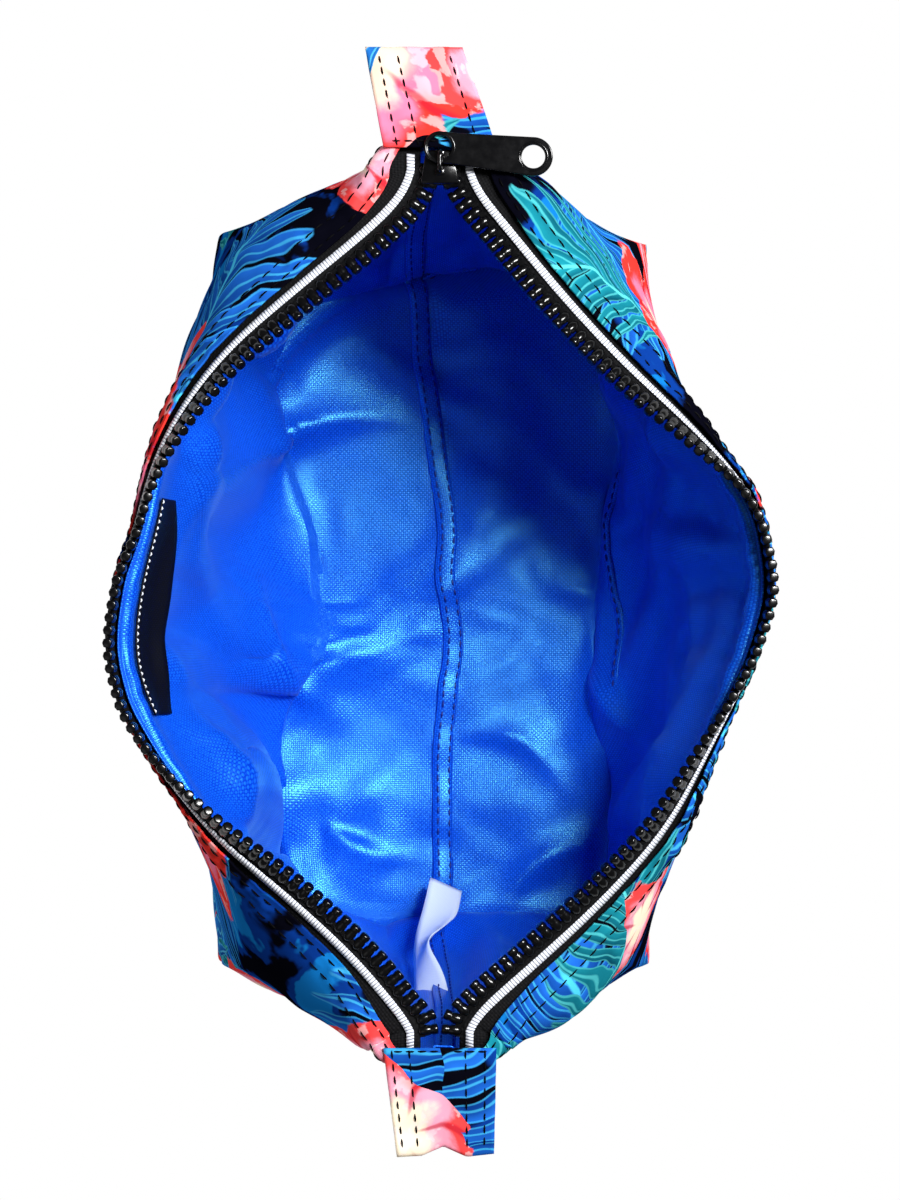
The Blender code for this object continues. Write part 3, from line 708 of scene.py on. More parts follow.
class Finish:
    """A material with its Principled shader, and short calls for the nodes that paint it."""

    def __init__(self, name, **values):
        self.material = bpy.data.materials.new(name)
        self.material.use_nodes = True
        self.tree = self.material.node_tree
        self.shader = self.tree.nodes["Principled BSDF"]
        for plug, value in values.items():
            self.set(plug, value)

    def set(self, plug, value):
        feed(self.tree, self.shader.inputs[plug.replace("_", " ")], value)

    def node(self, kind, output=0, settings=(), **plugs):
        node = self.tree.nodes.new(kind)
        for key, value in dict(settings).items():
            setattr(node, key, value)
        for plug, value in plugs.items():
            feed(self.tree, node.inputs[plug.replace("_", " ")], value)
        return Signal(self.tree, node.outputs[output])

    def place(self, kind="UV"):
        return self.node("ShaderNodeTexCoord", kind)

    def split(self, vector):
        node = self.tree.nodes.new("ShaderNodeSeparateXYZ")
        feed(self.tree, node.inputs[0], vector)
        return [Signal(self.tree, node.outputs[i]) for i in range(3)]

    def join(self, x, y, z=0.0):
        return self.node("ShaderNodeCombineXYZ", X=x, Y=y, Z=z)

    def combine(self, operation, vector, other):
        node = self.tree.nodes.new("ShaderNodeVectorMath")
        node.operation = operation
        feed(self.tree, node.inputs[0], vector)
        feed(self.tree, node.inputs[1], other)
        return Signal(self.tree, node.outputs[0])

    def noise(self, vector, size, detail=2.0, output="Fac"):
        return self.node(
            "ShaderNodeTexNoise", output, Vector=vector, Scale=1 / size, Detail=detail
        )

    def mix(self, share, first, second):
        node = self.tree.nodes.new("ShaderNodeMix")
        node.data_type = "RGBA"
        for plug, value in ((0, share), (6, first), (7, second)):
            feed(self.tree, node.inputs[plug], value)
        return Signal(self.tree, node.outputs[2])

    def bump(self, height, distance, strength):
        node = self.tree.nodes.new("ShaderNodeBump")
        node.inputs["Strength"].default_value = strength
        node.inputs["Distance"].default_value = distance
        feed(self.tree, node.inputs["Height"], height)
        self.tree.links.new(node.outputs[0], self.shader.inputs["Normal"])


def weave(finish, vector, pitch):
    """The height of a plain weave: yarns that pass over and under each other."""
    x, y, _ = finish.split(vector)
    across = (x * (math.pi / pitch)).sine()
    along = (y * (math.pi / pitch)).sine()
    return abs(across) * 0.5 + abs(along) * 0.5 + across * along * 0.35


def cells(finish, vector, size, seed):
    """Motif frames: local coordinates turned at random in each cell, and the cell's colour."""
    shifted = finish.combine("ADD", vector, (seed * 0.137, seed * 0.071, 0.0))
    node = finish.tree.nodes.new("ShaderNodeTexVoronoi")
    node.voronoi_dimensions = "2D"
    node.inputs["Scale"].default_value = 1 / size
    node.inputs["Randomness"].default_value = 0.85
    feed(finish.tree, node.inputs["Vector"], shifted)
    chance = finish.split(Signal(finish.tree, node.outputs["Color"]))
    local = finish.combine("SUBTRACT", shifted, Signal(finish.tree, node.outputs["Position"]))
    turned = finish.node(
        "ShaderNodeVectorRotate",
        settings={"rotation_type": "Z_AXIS"},
        Vector=local,
        Angle=chance[0] * (2 * math.pi),
    )
    x, y, _ = finish.split(turned)
    return x, y, chance


def paint_fronds(finish, ground, vector, size, seed, dark, light, vein, leaflets, share):
    """Fronds over a ground: pointed leaflets swept back from a bent midrib."""
    x, y, chance = cells(finish, vector, size, seed)
    length, width = size * 1.05, size * 0.40
    y = y + x * x * (0.9 / size)
    beside = abs(y)
    along = x / length + 0.5
    reach = (along * (1.0 - along)).math("MAXIMUM", 0.0).math("POWER", 0.55) * (2.1 * width)
    turn = (x - beside * 0.9) * (leaflets / length)
    finger = turn.fraction() * 2.0 - 1.0
    out = beside / (reach + 1e-4)
    edge = 0.95 - out * out * 0.75
    inside = (edge - abs(finger)).above(0.0, 0.05) * (1.0 - out).above(0.0, 0.03)
    mask = inside.math("MAXIMUM", (size * 0.012 - beside).above(0.0, 0.0003))
    mask = mask * (along * (1.0 - along)).above(0.0, 0.004) * (share - chance[1]).above(0.0, 0.001)
    brush = finish.noise(finish.join(turn * 0.8, beside * 60.0, chance[0] * 9.0), 1.1, 4.0)
    tone = (finger * 0.35 + brush * 1.3 - out * 0.25 - 0.05).math("MINIMUM", 1.0, clamp=True)
    body = finish.mix(tone, dark, light)
    ribs = (1.0 - abs(finger + 0.1).above(0.10, 0.06)) * 0.55
    rim = (abs(finger) - edge).above(-0.14, 0.05) * 0.4
    midrib = 1.0 - beside.above(size * 0.010, size * 0.004)
    lines = midrib.math("MAXIMUM", ribs.math("MAXIMUM", rim))
    return finish.mix(mask, ground, finish.mix(lines, body, vein))


def paint_blossoms(finish, ground, vector, size, seed, rim, middle, heart, share):
    """Broad petalled blossoms over a ground, painted from rim to heart in wet strokes."""
    x, y, chance = cells(finish, vector, size, seed)
    angle = y.math("ARCTAN2", x)
    distance = (x * x + y * y).math("SQRT")
    strokes = finish.noise(finish.join(x, y, chance[2] * 5.0), size * 0.10, 4.0)
    petal = abs((angle * 2.5 + chance[0] * 3.0).sine())
    reach = (petal * 0.16 + 0.33) * size
    radius = distance / reach + (strokes - 0.5) * 0.35
    mask = (1.0 - radius.above(1.0, 0.02)) * (share - chance[1]).above(0.0, 0.001)
    colour = finish.mix(radius.above(0.68, 0.10), middle, rim)
    colour = finish.mix(1.0 - radius.above(0.40, 0.10), colour, heart)
    pale = (strokes - 0.58).above(0.0, 0.03) * 0.4
    colour = finish.mix(pale, colour, (0.95, 0.80, 0.80))
    fold = (1.0 - petal.above(0.22, 0.12)) * radius.above(0.35, 0.2) * 0.7
    colour = finish.mix(fold, colour, (0.45, 0.01, 0.03))
    return finish.mix(mask, ground, colour)


def print_finish(name, blossoms, fronds, shift=0.0):
    """Satin polyester, printed with these shares of blossoms and fronds on black."""
    finish = Finish(name, Roughness=0.45, Specular_IOR_Level=0.0)
    cloth = finish.combine("ADD", finish.place(), (shift, 0.0, 0.0))
    drift = finish.noise(cloth, 0.025, 2.0, "Color")
    bend = finish.node(
        "ShaderNodeVectorMath", settings={"operation": "SCALE"}, Vector=drift, Scale=0.016
    )
    bent = finish.combine("ADD", cloth, bend)
    wash = finish.noise(bent, 0.024, 4.0)
    colour = finish.mix(wash.above(0.53, 0.02), (0.002, 0.002, 0.005), (0.003, 0.035, 0.24))
    colour = finish.mix(wash.above(0.60, 0.012), colour, (0.006, 0.17, 0.52))
    colour = paint_fronds(
        finish, colour, bent, 0.074, 1, (0.002, 0.025, 0.18), (0.018, 0.17, 0.74),
        (0.07, 0.56, 0.88), 9, fronds,
    )
    colour = paint_fronds(
        finish, colour, bent, 0.060, 2, (0.002, 0.05, 0.09), (0.012, 0.30, 0.38),
        (0.10, 0.62, 0.64), 10, fronds * 0.5,
    )
    colour = paint_blossoms(
        finish, colour, bent, 0.062, 6, (0.86, 0.040, 0.030), (0.90, 0.20, 0.34),
        (0.95, 0.66, 0.52), blossoms,
    )
    colour = paint_fronds(
        finish, colour, bent, 0.054, 5, (0.002, 0.02, 0.16), (0.03, 0.26, 0.82),
        (0.14, 0.70, 0.95), 7, fronds * 0.5,
    )
    colour = paint_blossoms(
        finish, colour, bent, 0.040, 11, (0.86, 0.06, 0.06), (0.92, 0.34, 0.46),
        (0.97, 0.82, 0.62), blossoms * 0.5,
    )
    finish.set("Base_Color", colour)
    finish.bump(weave(finish, cloth, 0.0003), 0.00004, 0.3)
    return finish.material


def lining_finish():
    """Royal blue woven nylon with a soft sheen, and a painted highlight on the tops of its yarns."""
    finish = Finish("blue_lining", Roughness=0.31, Sheen_Weight=0.10, Sheen_Roughness=0.4)
    finish.set("Sheen_Tint", (0.3, 0.6, 1.0))
    finish.set("Specular_IOR_Level", 1.0)
    finish.set("Specular_Tint", (0.16, 0.80, 1.0))
    cloth = finish.place()
    height = weave(finish, cloth, 0.00055)
    slubs = finish.noise(cloth, 0.0022, 3.0)
    grain = finish.noise(cloth, 0.0008, 1.0)
    colour = finish.mix(slubs, (0.0, 0.018, 0.40), (0.0, 0.038, 0.58))
    # Painted highlight: the raised yarns of the weave are painted a lighter azure blue.
    yarn_top_highlight = (height * (grain * 0.8 + 0.6)).above(0.62, 0.22)
    colour = finish.mix(yarn_top_highlight * 0.75, colour, (0.010, 0.17, 0.92))
    finish.set("Base_Color", colour)
    finish.bump(height * (grain + 0.3) + slubs * 0.6, 0.00012, 0.5)
    return finish.material


def plain_weave_finish(name, colour, light, roughness, pitch, depth):
    """A woven band in one colour, with a painted highlight that makes the tops of its yarns lighter."""
    finish = Finish(name, Roughness=roughness, Specular_IOR_Level=0.10)
    cloth = finish.place()
    height = weave(finish, cloth, pitch)
    # Painted highlight: the second colour is painted on the raised tops of the yarns.
    finish.set("Base_Color", finish.mix(height, colour, light))
    finish.bump(height, depth, 0.8)
    return finish.material


def ribbed_finish(name, groove_shade, rib, roughness):
    """A ribbon whose cross ribs stand proud of grooves, with painted shade darkening the grooves."""
    finish = Finish(name, Roughness=roughness, Specular_IOR_Level=0.3)
    _, along, _ = finish.split(finish.place())
    height = abs((along * (math.pi / RIB_PITCH)).sine())
    # Painted shade: the grooves between the ribs are painted darker than the white ribs.
    finish.set("Base_Color", finish.mix(height.above(0.48, 0.34), groove_shade, rib))
    finish.bump(height, 0.0001, 0.8)
    return finish.material


def glossy_finish(name, colour, roughness):
    """Moulded or enamelled black, faintly uneven."""
    finish = Finish(name)
    place = finish.place("Object")
    cloud = finish.noise(place, 0.002, 3.0)
    finish.set("Base_Color", finish.mix(cloud, colour, tuple(c * 1.6 for c in colour)))
    finish.set("Roughness", cloud * 0.12 + (roughness - 0.06))
    finish.bump(cloud, 0.00003, 0.3)
    return finish.material


def bag_surface(name, ring, grid, material):
    """One whole cloth layer as an open surface, walls and floor, with its UVs in metres."""
    rows = len(grid)
    floor = ring.floor(grid[0])
    points = np.concatenate((grid.reshape(-1, 3), floor.reshape(-1, 3)))
    faces = ring.faces(rows)
    heights = column_lengths(grid).mean(axis=1)
    around = ring.around * 2 * ring.half
    wall = np.stack(np.broadcast_arrays(around[None, :], heights[:, None]), axis=2)
    under = np.stack((ring.half / 2 - floor[..., 1], np.abs(floor[..., 0]) - BASE_WIDTH / 2), axis=-1)
    uvs = np.concatenate((wall.reshape(-1, 2), under.reshape(-1, 2)))
    return make_mesh(name, points, faces, material, wrap_uvs(uvs, faces, 2 * ring.half))


def make_outer_cloth(ring):
    """The outer cloth, with shallow wrinkles and the puckers along the zip."""
    grid = fine_rows(ring.levels(SHELL_FACE, 0.0, 0.0, 0.0, 0.0), SHELL_ROWS)
    lengths = column_lengths(grid)
    from_edge = lengths[-1] - lengths
    around = ring.around * 2 * ring.half
    pucker = field(around, from_edge * 0.4, 0.0058, 11) * 0.00075
    pucker = pucker + field(around, from_edge * 0.8, 0.0032, 13) * 0.00035
    flat = 1 - 0.65 * np.clip(ring.frames()["tilt"] / (math.pi / 2), 0, 1)
    pucker = pucker * flat * np.exp(-((from_edge - 0.0035) / 0.0045) ** 2)
    rise = np.clip(lengths / 0.02, 0, 1) * np.clip(from_edge / 0.012, 0, 1)
    crease = field(around, lengths * 0.5, 0.032, 12) * 0.0012
    sharp = np.exp(-((field(around, lengths * 0.7, 0.045, 14) / 0.15) ** 2)) * 0.0008
    crease = (crease - sharp) * rise
    relief = pucker + crease
    relief = np.where(relief < 0, INWARD_SHARE * relief, relief)
    grid = grid + wall_normals(grid) * relief[:, :, None]
    made = bag_surface("outer_cloth", ring, grid, PRINT)
    thicken(made, SHELL_CLOTH)
    return made, grid


def make_inner_cloth(ring):
    """The lining, looser than the outer cloth, settled by simulation against it."""
    grid = fine_rows(ring.levels(LINING_FACE, LINING_INSET, LINING_FLOOR, 1.0, LINING_CUT), LINING_ROWS)
    made = bag_surface("inner_cloth", ring, grid, LINING)
    settle_lining(made, ring, grid)
    crumple(made)
    points, _ = read_points(made)
    walls = points[: grid.size // 3].reshape(grid.shape)
    floor = points[grid.size // 3 :].reshape(ring.along - 1, 2 * ring.end - 1, 3)
    apply_modifier(made, "SUBSURF", levels=1, render_levels=1)
    press_creases(made)
    thicken(made, LINING_CLOTH)
    made.data.shade_smooth()
    return made, walls, floor


def read_points(made):
    """A mesh's points and the normals at them."""
    values = []
    for key in ("co", "normal"):
        flat = np.empty(len(made.data.vertices) * 3)
        made.data.vertices.foreach_get(key, flat)
        values.append(flat.reshape(-1, 3))
    return values


def write_points(made, points):
    """Moves the lining's points and keeps them above the outer cloth's base."""
    points[:, 2] = np.maximum(points[:, 2], LINING_LOWEST)
    made.data.vertices.foreach_set("co", points.ravel())
    made.data.update()


def press_creases(made):
    """Folds the settled lining up into crisp creases, each steep on one side."""
    points, normals = read_points(made)
    x, y, z = points.T
    half_width, half_length = BASE_WIDTH / 2, BASE_LENGTH / 2
    steep_share, fade = 0.28, 0.012
    rise = np.zeros(len(points))
    for crease in np.stack(list(LINING_CREASES.values()), axis=1):
        aside, ahead, heading, length, width, depth = crease
        turn = math.radians(heading)
        from_x, from_y = x - aside * half_width, y - ahead * half_length
        along = (from_x * math.cos(turn) + from_y * math.sin(turn)) / (length * half_length)
        beside = (from_y * math.cos(turn) - from_x * math.sin(turn)) / (width * half_length)
        beside += along**2 * length / width / 4
        slope = np.where(beside > 0, beside, -beside / steep_share)
        height = depth * width * half_length
        rise = np.maximum(rise, height * np.exp(-slope * 1.4 - along**2))
    rise *= np.clip((ZIP_HEIGHT - fade - z) / fade, 0, 1)
    write_points(made, points - normals * rise[:, None])


def crumple(made):
    """Presses sharp, uneven creases into the lining below its hem."""
    points, normals = read_points(made)
    x, y, z = points.T
    u, v = x + 0.8 * z, y - 0.4 * z
    facets = sum(
        depth * (0.6 - abs(field(u, v, size, seed)))
        for size, depth, seed in ((0.120, 0.0042, 41), (0.065, 0.0020, 43), (0.036, 0.0007, 47))
    )
    under_hem = np.clip((ZIP_HEIGHT - 0.008 - z) / 0.015, 0, 1)
    sides = 1.3 * np.clip(-(x + 0.010) / 0.03, 0, 1) + 0.5 * np.clip((x - 0.03) / 0.03, 0, 1)
    strength = 0.75 + sides
    inward = np.maximum(facets * under_hem * strength, 0)
    write_points(made, points - normals * inward[:, None])


def settle_lining(made, ring, grid):
    """Lets the lining, cut a little large, buckle in from the outer cloth, sag and ease."""
    held = made.vertex_groups.new(name="held")
    rows = len(grid)
    hem = rows - HEM_ROWS
    for row in range(rows):
        weight = (0.0, 0.6, 1.0)[max(0, min(2, row - hem))]
        if weight:
            own = range(row * ring.count, (row + 1) * ring.count)
            held.add(list(own), weight, "REPLACE")
    wall = fine_rows(
        ring.levels(LINING_FACE, LINING_INSET - OUTWARD_ROOM, LINING_FLOOR - OUTWARD_ROOM, 0.4, 0.003),
        LINING_ROWS,
    )
    limit = bag_surface("outer_limit", ring, wall[: rows - 3], LINING)
    limit.data.flip_normals()
    limit.modifiers.new("Collision", "COLLISION")
    limit.collision.thickness_outer = CONTACT_GAP
    limit.collision.thickness_inner = 0.004
    limit.collision.cloth_friction = 4
    cloth = made.modifiers.new("Cloth", "CLOTH")
    settings = cloth.settings
    settings.quality = 6
    settings.mass = 0.15
    settings.air_damping = 3
    settings.tension_stiffness = settings.compression_stiffness = 18
    settings.shear_stiffness = 6
    settings.bending_stiffness = LINING_STIFFNESS
    settings.shrink_min = -LINING_EXCESS
    settings.vertex_group_mass = "held"
    settings.effector_weights.gravity = 0.8
    cloth.collision_settings.distance_min = CONTACT_GAP
    cloth.collision_settings.use_self_collision = False
    cloth.point_cache.frame_start = 1
    cloth.point_cache.frame_end = SETTLE_FRAMES
    scene = bpy.context.scene
    for step in range(1, SETTLE_FRAMES + 1):
        scene.frame_set(step)
    select_only(made)
    bpy.ops.object.modifier_apply(modifier=cloth.name)
    scene.frame_set(1)
    bpy.data.objects.remove(limit)
    free = made.vertex_groups.new(name="free")
    below_hem = range(hem * ring.count)
    floor = range(rows * ring.count, len(made.data.vertices))
    free.add([*below_hem, *floor], 1.0, "REPLACE")
    apply_modifier(made, "SMOOTH", factor=0.5, iterations=3, vertex_group="free")


def pick_faces(wanted):
    """In edit mode, selects only the faces for which wanted(centre, normal) is true."""
    shape = bmesh.from_edit_mesh(bpy.context.edit_object.data)
    bpy.ops.mesh.select_all(action="DESELECT")
    bpy.ops.mesh.select_mode(type="FACE")
    for face in shape.faces:
        face.select_set(wanted(face.calc_center_median(), face.normal))
    bmesh.update_edit_mesh(bpy.context.edit_object.data)


def add_block(name, size, place=(0, 0, 0)):
    """A block as a start for modelling, in edit mode."""
    bpy.ops.object.select_all(action="DESELECT")
    bpy.ops.mesh.primitive_cube_add(size=1, location=place, scale=size)
    made = bpy.context.object
    made.name = name
    bpy.ops.object.transform_apply(location=True, rotation=True, scale=True)
    bpy.ops.object.mode_set(mode="EDIT")
    return made


def extrude_end(wanted, move, scale):
    """Draws out the wanted faces and narrows or widens their new end about its middle."""
    pick_faces(wanted)
    bpy.ops.mesh.extrude_region_move(TRANSFORM_OT_translate={"value": move})
    shape = bmesh.from_edit_mesh(bpy.context.edit_object.data)
    chosen = [vertex.co for vertex in shape.verts if vertex.select]
    centre = sum(chosen, Vector()) / len(chosen)
    bpy.ops.transform.resize(value=scale, center_override=centre)


def finish_block(made):
    """Leaves edit mode and rounds the block."""
    bpy.ops.object.mode_set(mode="OBJECT")
    apply_modifier(made, "SUBSURF", levels=1, render_levels=1)
    made.data.shade_smooth()
    return made


def model_tooth():
    """One moulded tooth: a root that grips the cord, a neck, and a round head at -Y."""
    made = add_block("tooth", (0.0031, 0.0026, 0.0028), (0, 0.0013, 0))
    for length, width, height in TOOTH_STEPS:
        extrude_end(lambda centre, normal: normal.y < -0.9, (0, -length, 0), (width, 1, height))
    return finish_block(made)


def model_stitch(length, thickness):
    """One stitch along X, whose ends dip into the cloth."""
    bpy.ops.object.select_all(action="DESELECT")
    bpy.ops.mesh.primitive_uv_sphere_add(segments=6, ring_count=6, radius=0.5)
    made = bpy.context.object
    made.name = "stitch"
    bpy.ops.object.transform_apply(location=True, rotation=True, scale=True)
    for vertex in made.data.vertices:
        x, y, z = vertex.co.z, vertex.co.y, vertex.co.x
        dip = 2.4 * x * x
        vertex.co = (x * length, y * thickness, (z - dip + 0.25) * thickness)
    made.data.flip_normals()
    return made


def copy_along(name, prototype, origins, axes, material):
    """A copy of the prototype in each frame, all in one mesh. The prototype is removed."""
    mesh = prototype.data
    points = np.array([vertex.co for vertex in mesh.vertices])
    faces = [list(polygon.vertices) for polygon in mesh.polygons]
    placed = np.einsum("pi,nij->npj", points, axes) + origins[:, None, :]
    count = len(points)
    all_faces = [[i + k * count for i in face] for k in range(len(origins)) for face in faces]
    bpy.data.objects.remove(prototype)
    mesh = bpy.data.meshes.new(name)
    mesh.from_pydata(placed.reshape(-1, 3).tolist(), [], all_faces)
    mesh.materials.append(material)
    mesh.shade_smooth()
    return add_object(name, mesh)


def belong(made, slot, *nodes, body="bag"):
    """Puts a piece on the body that it rides on, and hides the solids that it stands for. The slot is
    not used.
    """
    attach(made, body)
    if nodes:
        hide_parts(*nodes)
    return made


def zip_axes(side, lengths):
    """Frames along the zip: place, and the directions along, down the tape and out of it."""
    at = zip_frames(side, lengths)
    down, out = tape_axes(at)
    along = unit(np.cross(down, out))
    return at, along, down, out


def ribbon_mesh(name, rows, material, thickness):
    """A closed band from rows of points, with UVs in metres."""
    rows = np.asarray(rows)
    count, width = rows.shape[:2]
    index = np.arange(count * width).reshape(count, width)
    quads = (index[:-1, :-1], index[1:, :-1], index[1:, 1:], index[:-1, 1:])
    faces = np.stack([quad.ravel() for quad in quads], axis=1)
    across, along = run_along(rows[count // 2]), run_along(rows[:, width // 2])
    uvs = np.stack(np.broadcast_arrays(across[None, :], along[:, None]), axis=2).reshape(-1, 2)
    made = make_mesh(name, rows.reshape(-1, 3), faces, material, uvs[faces])
    thicken(made, thickness, 0)
    return made


def make_zip_side(side):
    """One side of the zip: teeth on their cord, tape and ribbed ribbon."""
    name = side_name(side)
    run = ZIP_RUN[side]
    count = int(run / TOOTH_PITCH)
    teeth = (np.arange(count) + 0.5) * run / count
    at, along, down, out = zip_axes(side, teeth)
    axes = np.stack((along, down, out), axis=1)
    row = copy_along(f"teeth_{name}", model_tooth(), at["place"], axes, PLASTIC)
    belong(row, "black_plastic", f"zip_teeth_{name}")

    fine = np.linspace(0, run, int(run / 0.0015))
    at, along, down, out = zip_axes(side, fine)
    place = at["place"]
    curve = bevelled_curve(f"cord_{name}", "3D", CORD_RADIUS, 2)
    curve.use_fill_caps = True
    spline = curve.splines.new("POLY")
    middle = place + down * CORD_DEPTH
    spline.points.add(len(middle) - 1)
    spline.points.foreach_set("co", np.c_[middle, np.ones(len(middle))].ravel())
    curve.materials.append(TAPE_CLOTH)
    cord = belong(curve_to_mesh(f"cord_{name}", curve), "black_tape")

    tuck = TAPE_TUCK * np.minimum(1, (CLOTH_EDGE / at["edge"]) ** 3)
    outer = at["edge"] + tuck
    shares = np.linspace(0, 1, 5)
    inner = TOOTH_ROOT - TAPE_INSET
    rows = [place + down * (inner + (outer - inner) * share)[:, None] for share in shares]
    tape = ribbon_mesh(
        f"tape_{name}", with_overrun(np.stack(rows, axis=1), TAPE_OVERRUN, TAPE_END),
        TAPE_CLOTH, TAPE_THICKNESS,
    )
    belong(tape, "black_tape", f"zip_tape_{name}")

    ribs = np.arange(0, run, RIB_PITCH / 4)
    at, along, down, out = zip_axes(side, ribs)
    rise = np.abs(np.sin(ribs * math.pi / RIB_PITCH)) * RIB_RISE
    rows = []
    for share in (0, 0.5, 1):
        away = RIBBON_INNER + RIBBON_WIDTH * share
        lift = TAPE / 2 + RIBBON_LIFT + rise * (1 if share == 0.5 else 0.6)
        rows.append(at["place"] + down * away + out * lift[:, None])
    ribbon = ribbon_mesh(
        f"ribbon_{name}", with_overrun(ease(np.stack(rows, axis=1), RIBBON_EASE), RIBBON_OVERRUN, None),
        RIBBON_CLOTH, RIBBON_THICKNESS,
    )
    belong(ribbon, "white_ribbon", f"zip_ribbon_{name}")
    return tape, ribbon, cord


def ease(rows, reach):
    """Smooths a band along its length, with this many rows either side."""
    window = np.hanning(2 * reach + 3)[1:-1]
    padded = np.concatenate((np.repeat(rows[:1], reach, 0), rows, np.repeat(rows[-1:], reach, 0)))
    flat = padded.reshape(len(padded), -1)
    eased = [np.convolve(flat[:, i], window / window.sum(), "valid") for i in range(flat.shape[1])]
    return np.array(eased).T.reshape(rows.shape)


def with_overrun(rows, overrun, narrow):
    """Runs both ends of a band straight on under the tabs."""
    ends = []
    for row, end in ((rows[0], 1), (rows[-1], -1)):
        far = row + np.array((0, end * overrun, 0))
        if narrow:
            far[:, 0] = row[0, 0] + (row[:, 0] - row[0, 0]) * narrow / abs(row[-1, 0] - row[0, 0])
        ends.append(far)
    return np.concatenate((ends[0][None], rows, ends[1][None]))


def make_tab(name, node, end, start, length, lean, notch, material):
    """A strip of printed cloth folded double over its tip."""
    tab_cloth, fold_gap = 0.0007, 0.0010
    mid = ZIP_HEIGHT + SHELL_FACE + 0.0014 - tab_cloth / 2
    bend = (tab_cloth + fold_gap) / 2
    lower = MOUTH_LENGTH / 2 + END_REACH + 0.0013 - start
    straight = length - bend - tab_cloth / 2
    turns = np.linspace(0, math.pi, 7)
    path = [(out, bend) for out in np.linspace(0, straight, 32)[:-1]]
    path += [(straight + bend * math.sin(t), bend * math.cos(t)) for t in turns]
    path += [(out, -bend) for out in np.linspace(straight, lower, 20)[1:]]
    out, rise = np.array(path).T[:, :, None]
    share = np.linspace(-1, 1, 29)[None, :]
    tip = np.maximum(out, 0) / length
    cut = np.interp(share, TAB_ACROSS["across"], TAB_ACROSS["cut"])
    x = share * TAB_WIDTH / 2 * (1 - TAB_TAPER * tip) + lean * out
    y = end * (start + out - notch * cut * tip)
    waves = field(x, y, 0.008, 31 + end) * 0.00035 * np.sign(rise + 1e-9)
    z = mid - bend + rise - TAB_DROOP * tip**2 + waves * np.clip(tip * 4, 0, 1)
    rows = np.stack(np.broadcast_arrays(x, y, z), axis=2)
    made = ribbon_mesh(name, rows if end > 0 else rows[:, ::-1], material, tab_cloth)
    belong(made, "printed_satin", node)
    return made, rows


def depth_line(grid, depth, soften=0):
    """The line at one depth under the cloth's top edge, with its normals, by column."""
    lengths = column_lengths(grid)
    from_edge = lengths[-1] - lengths
    normals = wall_normals(grid)
    rows = np.arange(len(grid))
    line, outward = np.empty((2, grid.shape[1], 3))
    for k in range(grid.shape[1]):
        at = np.interp(-depth, -from_edge[:, k], rows)
        for i in range(3):
            line[k, i] = np.interp(at, rows, grid[:, k, i])
            outward[k, i] = np.interp(at, rows, normals[:, k, i])
    for _ in range(soften):
        line = (np.roll(line, 1, axis=0) + 2 * line + np.roll(line, -1, axis=0)) / 4
        outward = (np.roll(outward, 1, axis=0) + 2 * outward + np.roll(outward, -1, axis=0)) / 4
    return line, unit(outward)


def even_steps(line, outward, step):
    """Points at even steps along a line, with the directions along, across and out."""
    run = run_along(line)
    count = max(2, int(run[-1] / step))
    at = (np.arange(count) + 0.5) * run[-1] / count
    along = unit(at_lengths(at + step / 4, run, line) - at_lengths(at - step / 4, run, line))
    out = unit(at_lengths(at, run, outward))
    across = unit(np.cross(out, along))
    return at_lengths(at, run, line), along, across, np.cross(along, across)


def sew(name, lines, material, length=STITCH, pitch=STITCH_PITCH, lift=0.0001):
    """Stitches along each line, given with its normals, in one piece."""
    places, frames = [], []
    for line, outward in lines:
        point, along, across, out = even_steps(line, outward, pitch)
        places.append(point + out * lift)
        frames.append(np.stack((along, across, out), axis=1))
    prototype = model_stitch(length, THREAD)
    return copy_along(name, prototype, np.concatenate(places), np.concatenate(frames), material)


def zip_columns(ring, side):
    """The columns of one side that lie beside the zip, from the slider's end."""
    top_run, length = ring.top_runs()
    inside = (top_run > TAB_WIDTH / 2 - 0.001) & (top_run < length - TAB_WIDTH / 2 + 0.001)
    own = np.flatnonzero(inside & (ring.side == side))
    return own if side > 0 else own[::-1]


def make_topstitching():
    """The two rows of black stitches in the outer cloth beside the zip."""
    lines = []
    for depth in TOPSTITCH_DEPTHS:
        line, outward = depth_line(shell_grid, depth)
        for side in (1, -1):
            own = zip_columns(shell_ring, side)
            lines.append((line[own], outward[own]))
    return belong(sew("topstitches", lines, THREAD_BLACK), "black_tape")


def make_tab_stitches(name, rows, shares, across_at):
    """Rows of stitches along a tab at shares of its width, and one across its root."""
    upper = rows[:31] + UP * 0.00035
    middle = (rows.shape[1] - 1) / 2
    lines = []
    for share in shares:
        at = middle * (1 + share)
        low = min(int(at), rows.shape[1] - 2)
        line = upper[:, low] * (1 - (at - low)) + upper[:, low + 1] * (at - low)
        lines.append((line, np.tile(UP, (len(line), 1))))
    for root in across_at:
        lines.append((upper[root, 2:-2], np.tile(UP, (rows.shape[1] - 4, 1))))
    return belong(sew(name, lines, THREAD_BLACK, FINE_STITCH, FINE_PITCH), "black_tape")


def lining_run():
    """The lining from one end's top edge down, along the floor and up the other end."""
    ring, turn = lining_ring, np.arange(-lining_ring.end, lining_ring.end + 1)
    near = lining_grid[::-1, turn % ring.count]
    far = lining_grid[:, (ring.count // 2 - turn) % ring.count]
    left = lining_grid[0, (ring.count - ring.end - np.arange(1, ring.along)) % ring.count]
    right = lining_grid[0, ring.end + np.arange(1, ring.along)]
    middle = np.concatenate((left[:, None], lining_floor, right[:, None]), axis=1)
    return np.concatenate((near, middle, far))


def on_sheet(sheet, rows, columns):
    """Points at fractional rows and columns of a sheet of points."""
    rows = np.clip(rows, 0, sheet.shape[0] - 1.001)
    columns = np.clip(columns, 0, sheet.shape[1] - 1.001)
    i, j = rows.astype(int), columns.astype(int)
    s, t = (rows - i)[:, None], (columns - j)[:, None]
    low = sheet[i, j] * (1 - t) + sheet[i, j + 1] * t
    high = sheet[i + 1, j] * (1 - t) + sheet[i + 1, j + 1] * t
    return low * (1 - s) + high * s


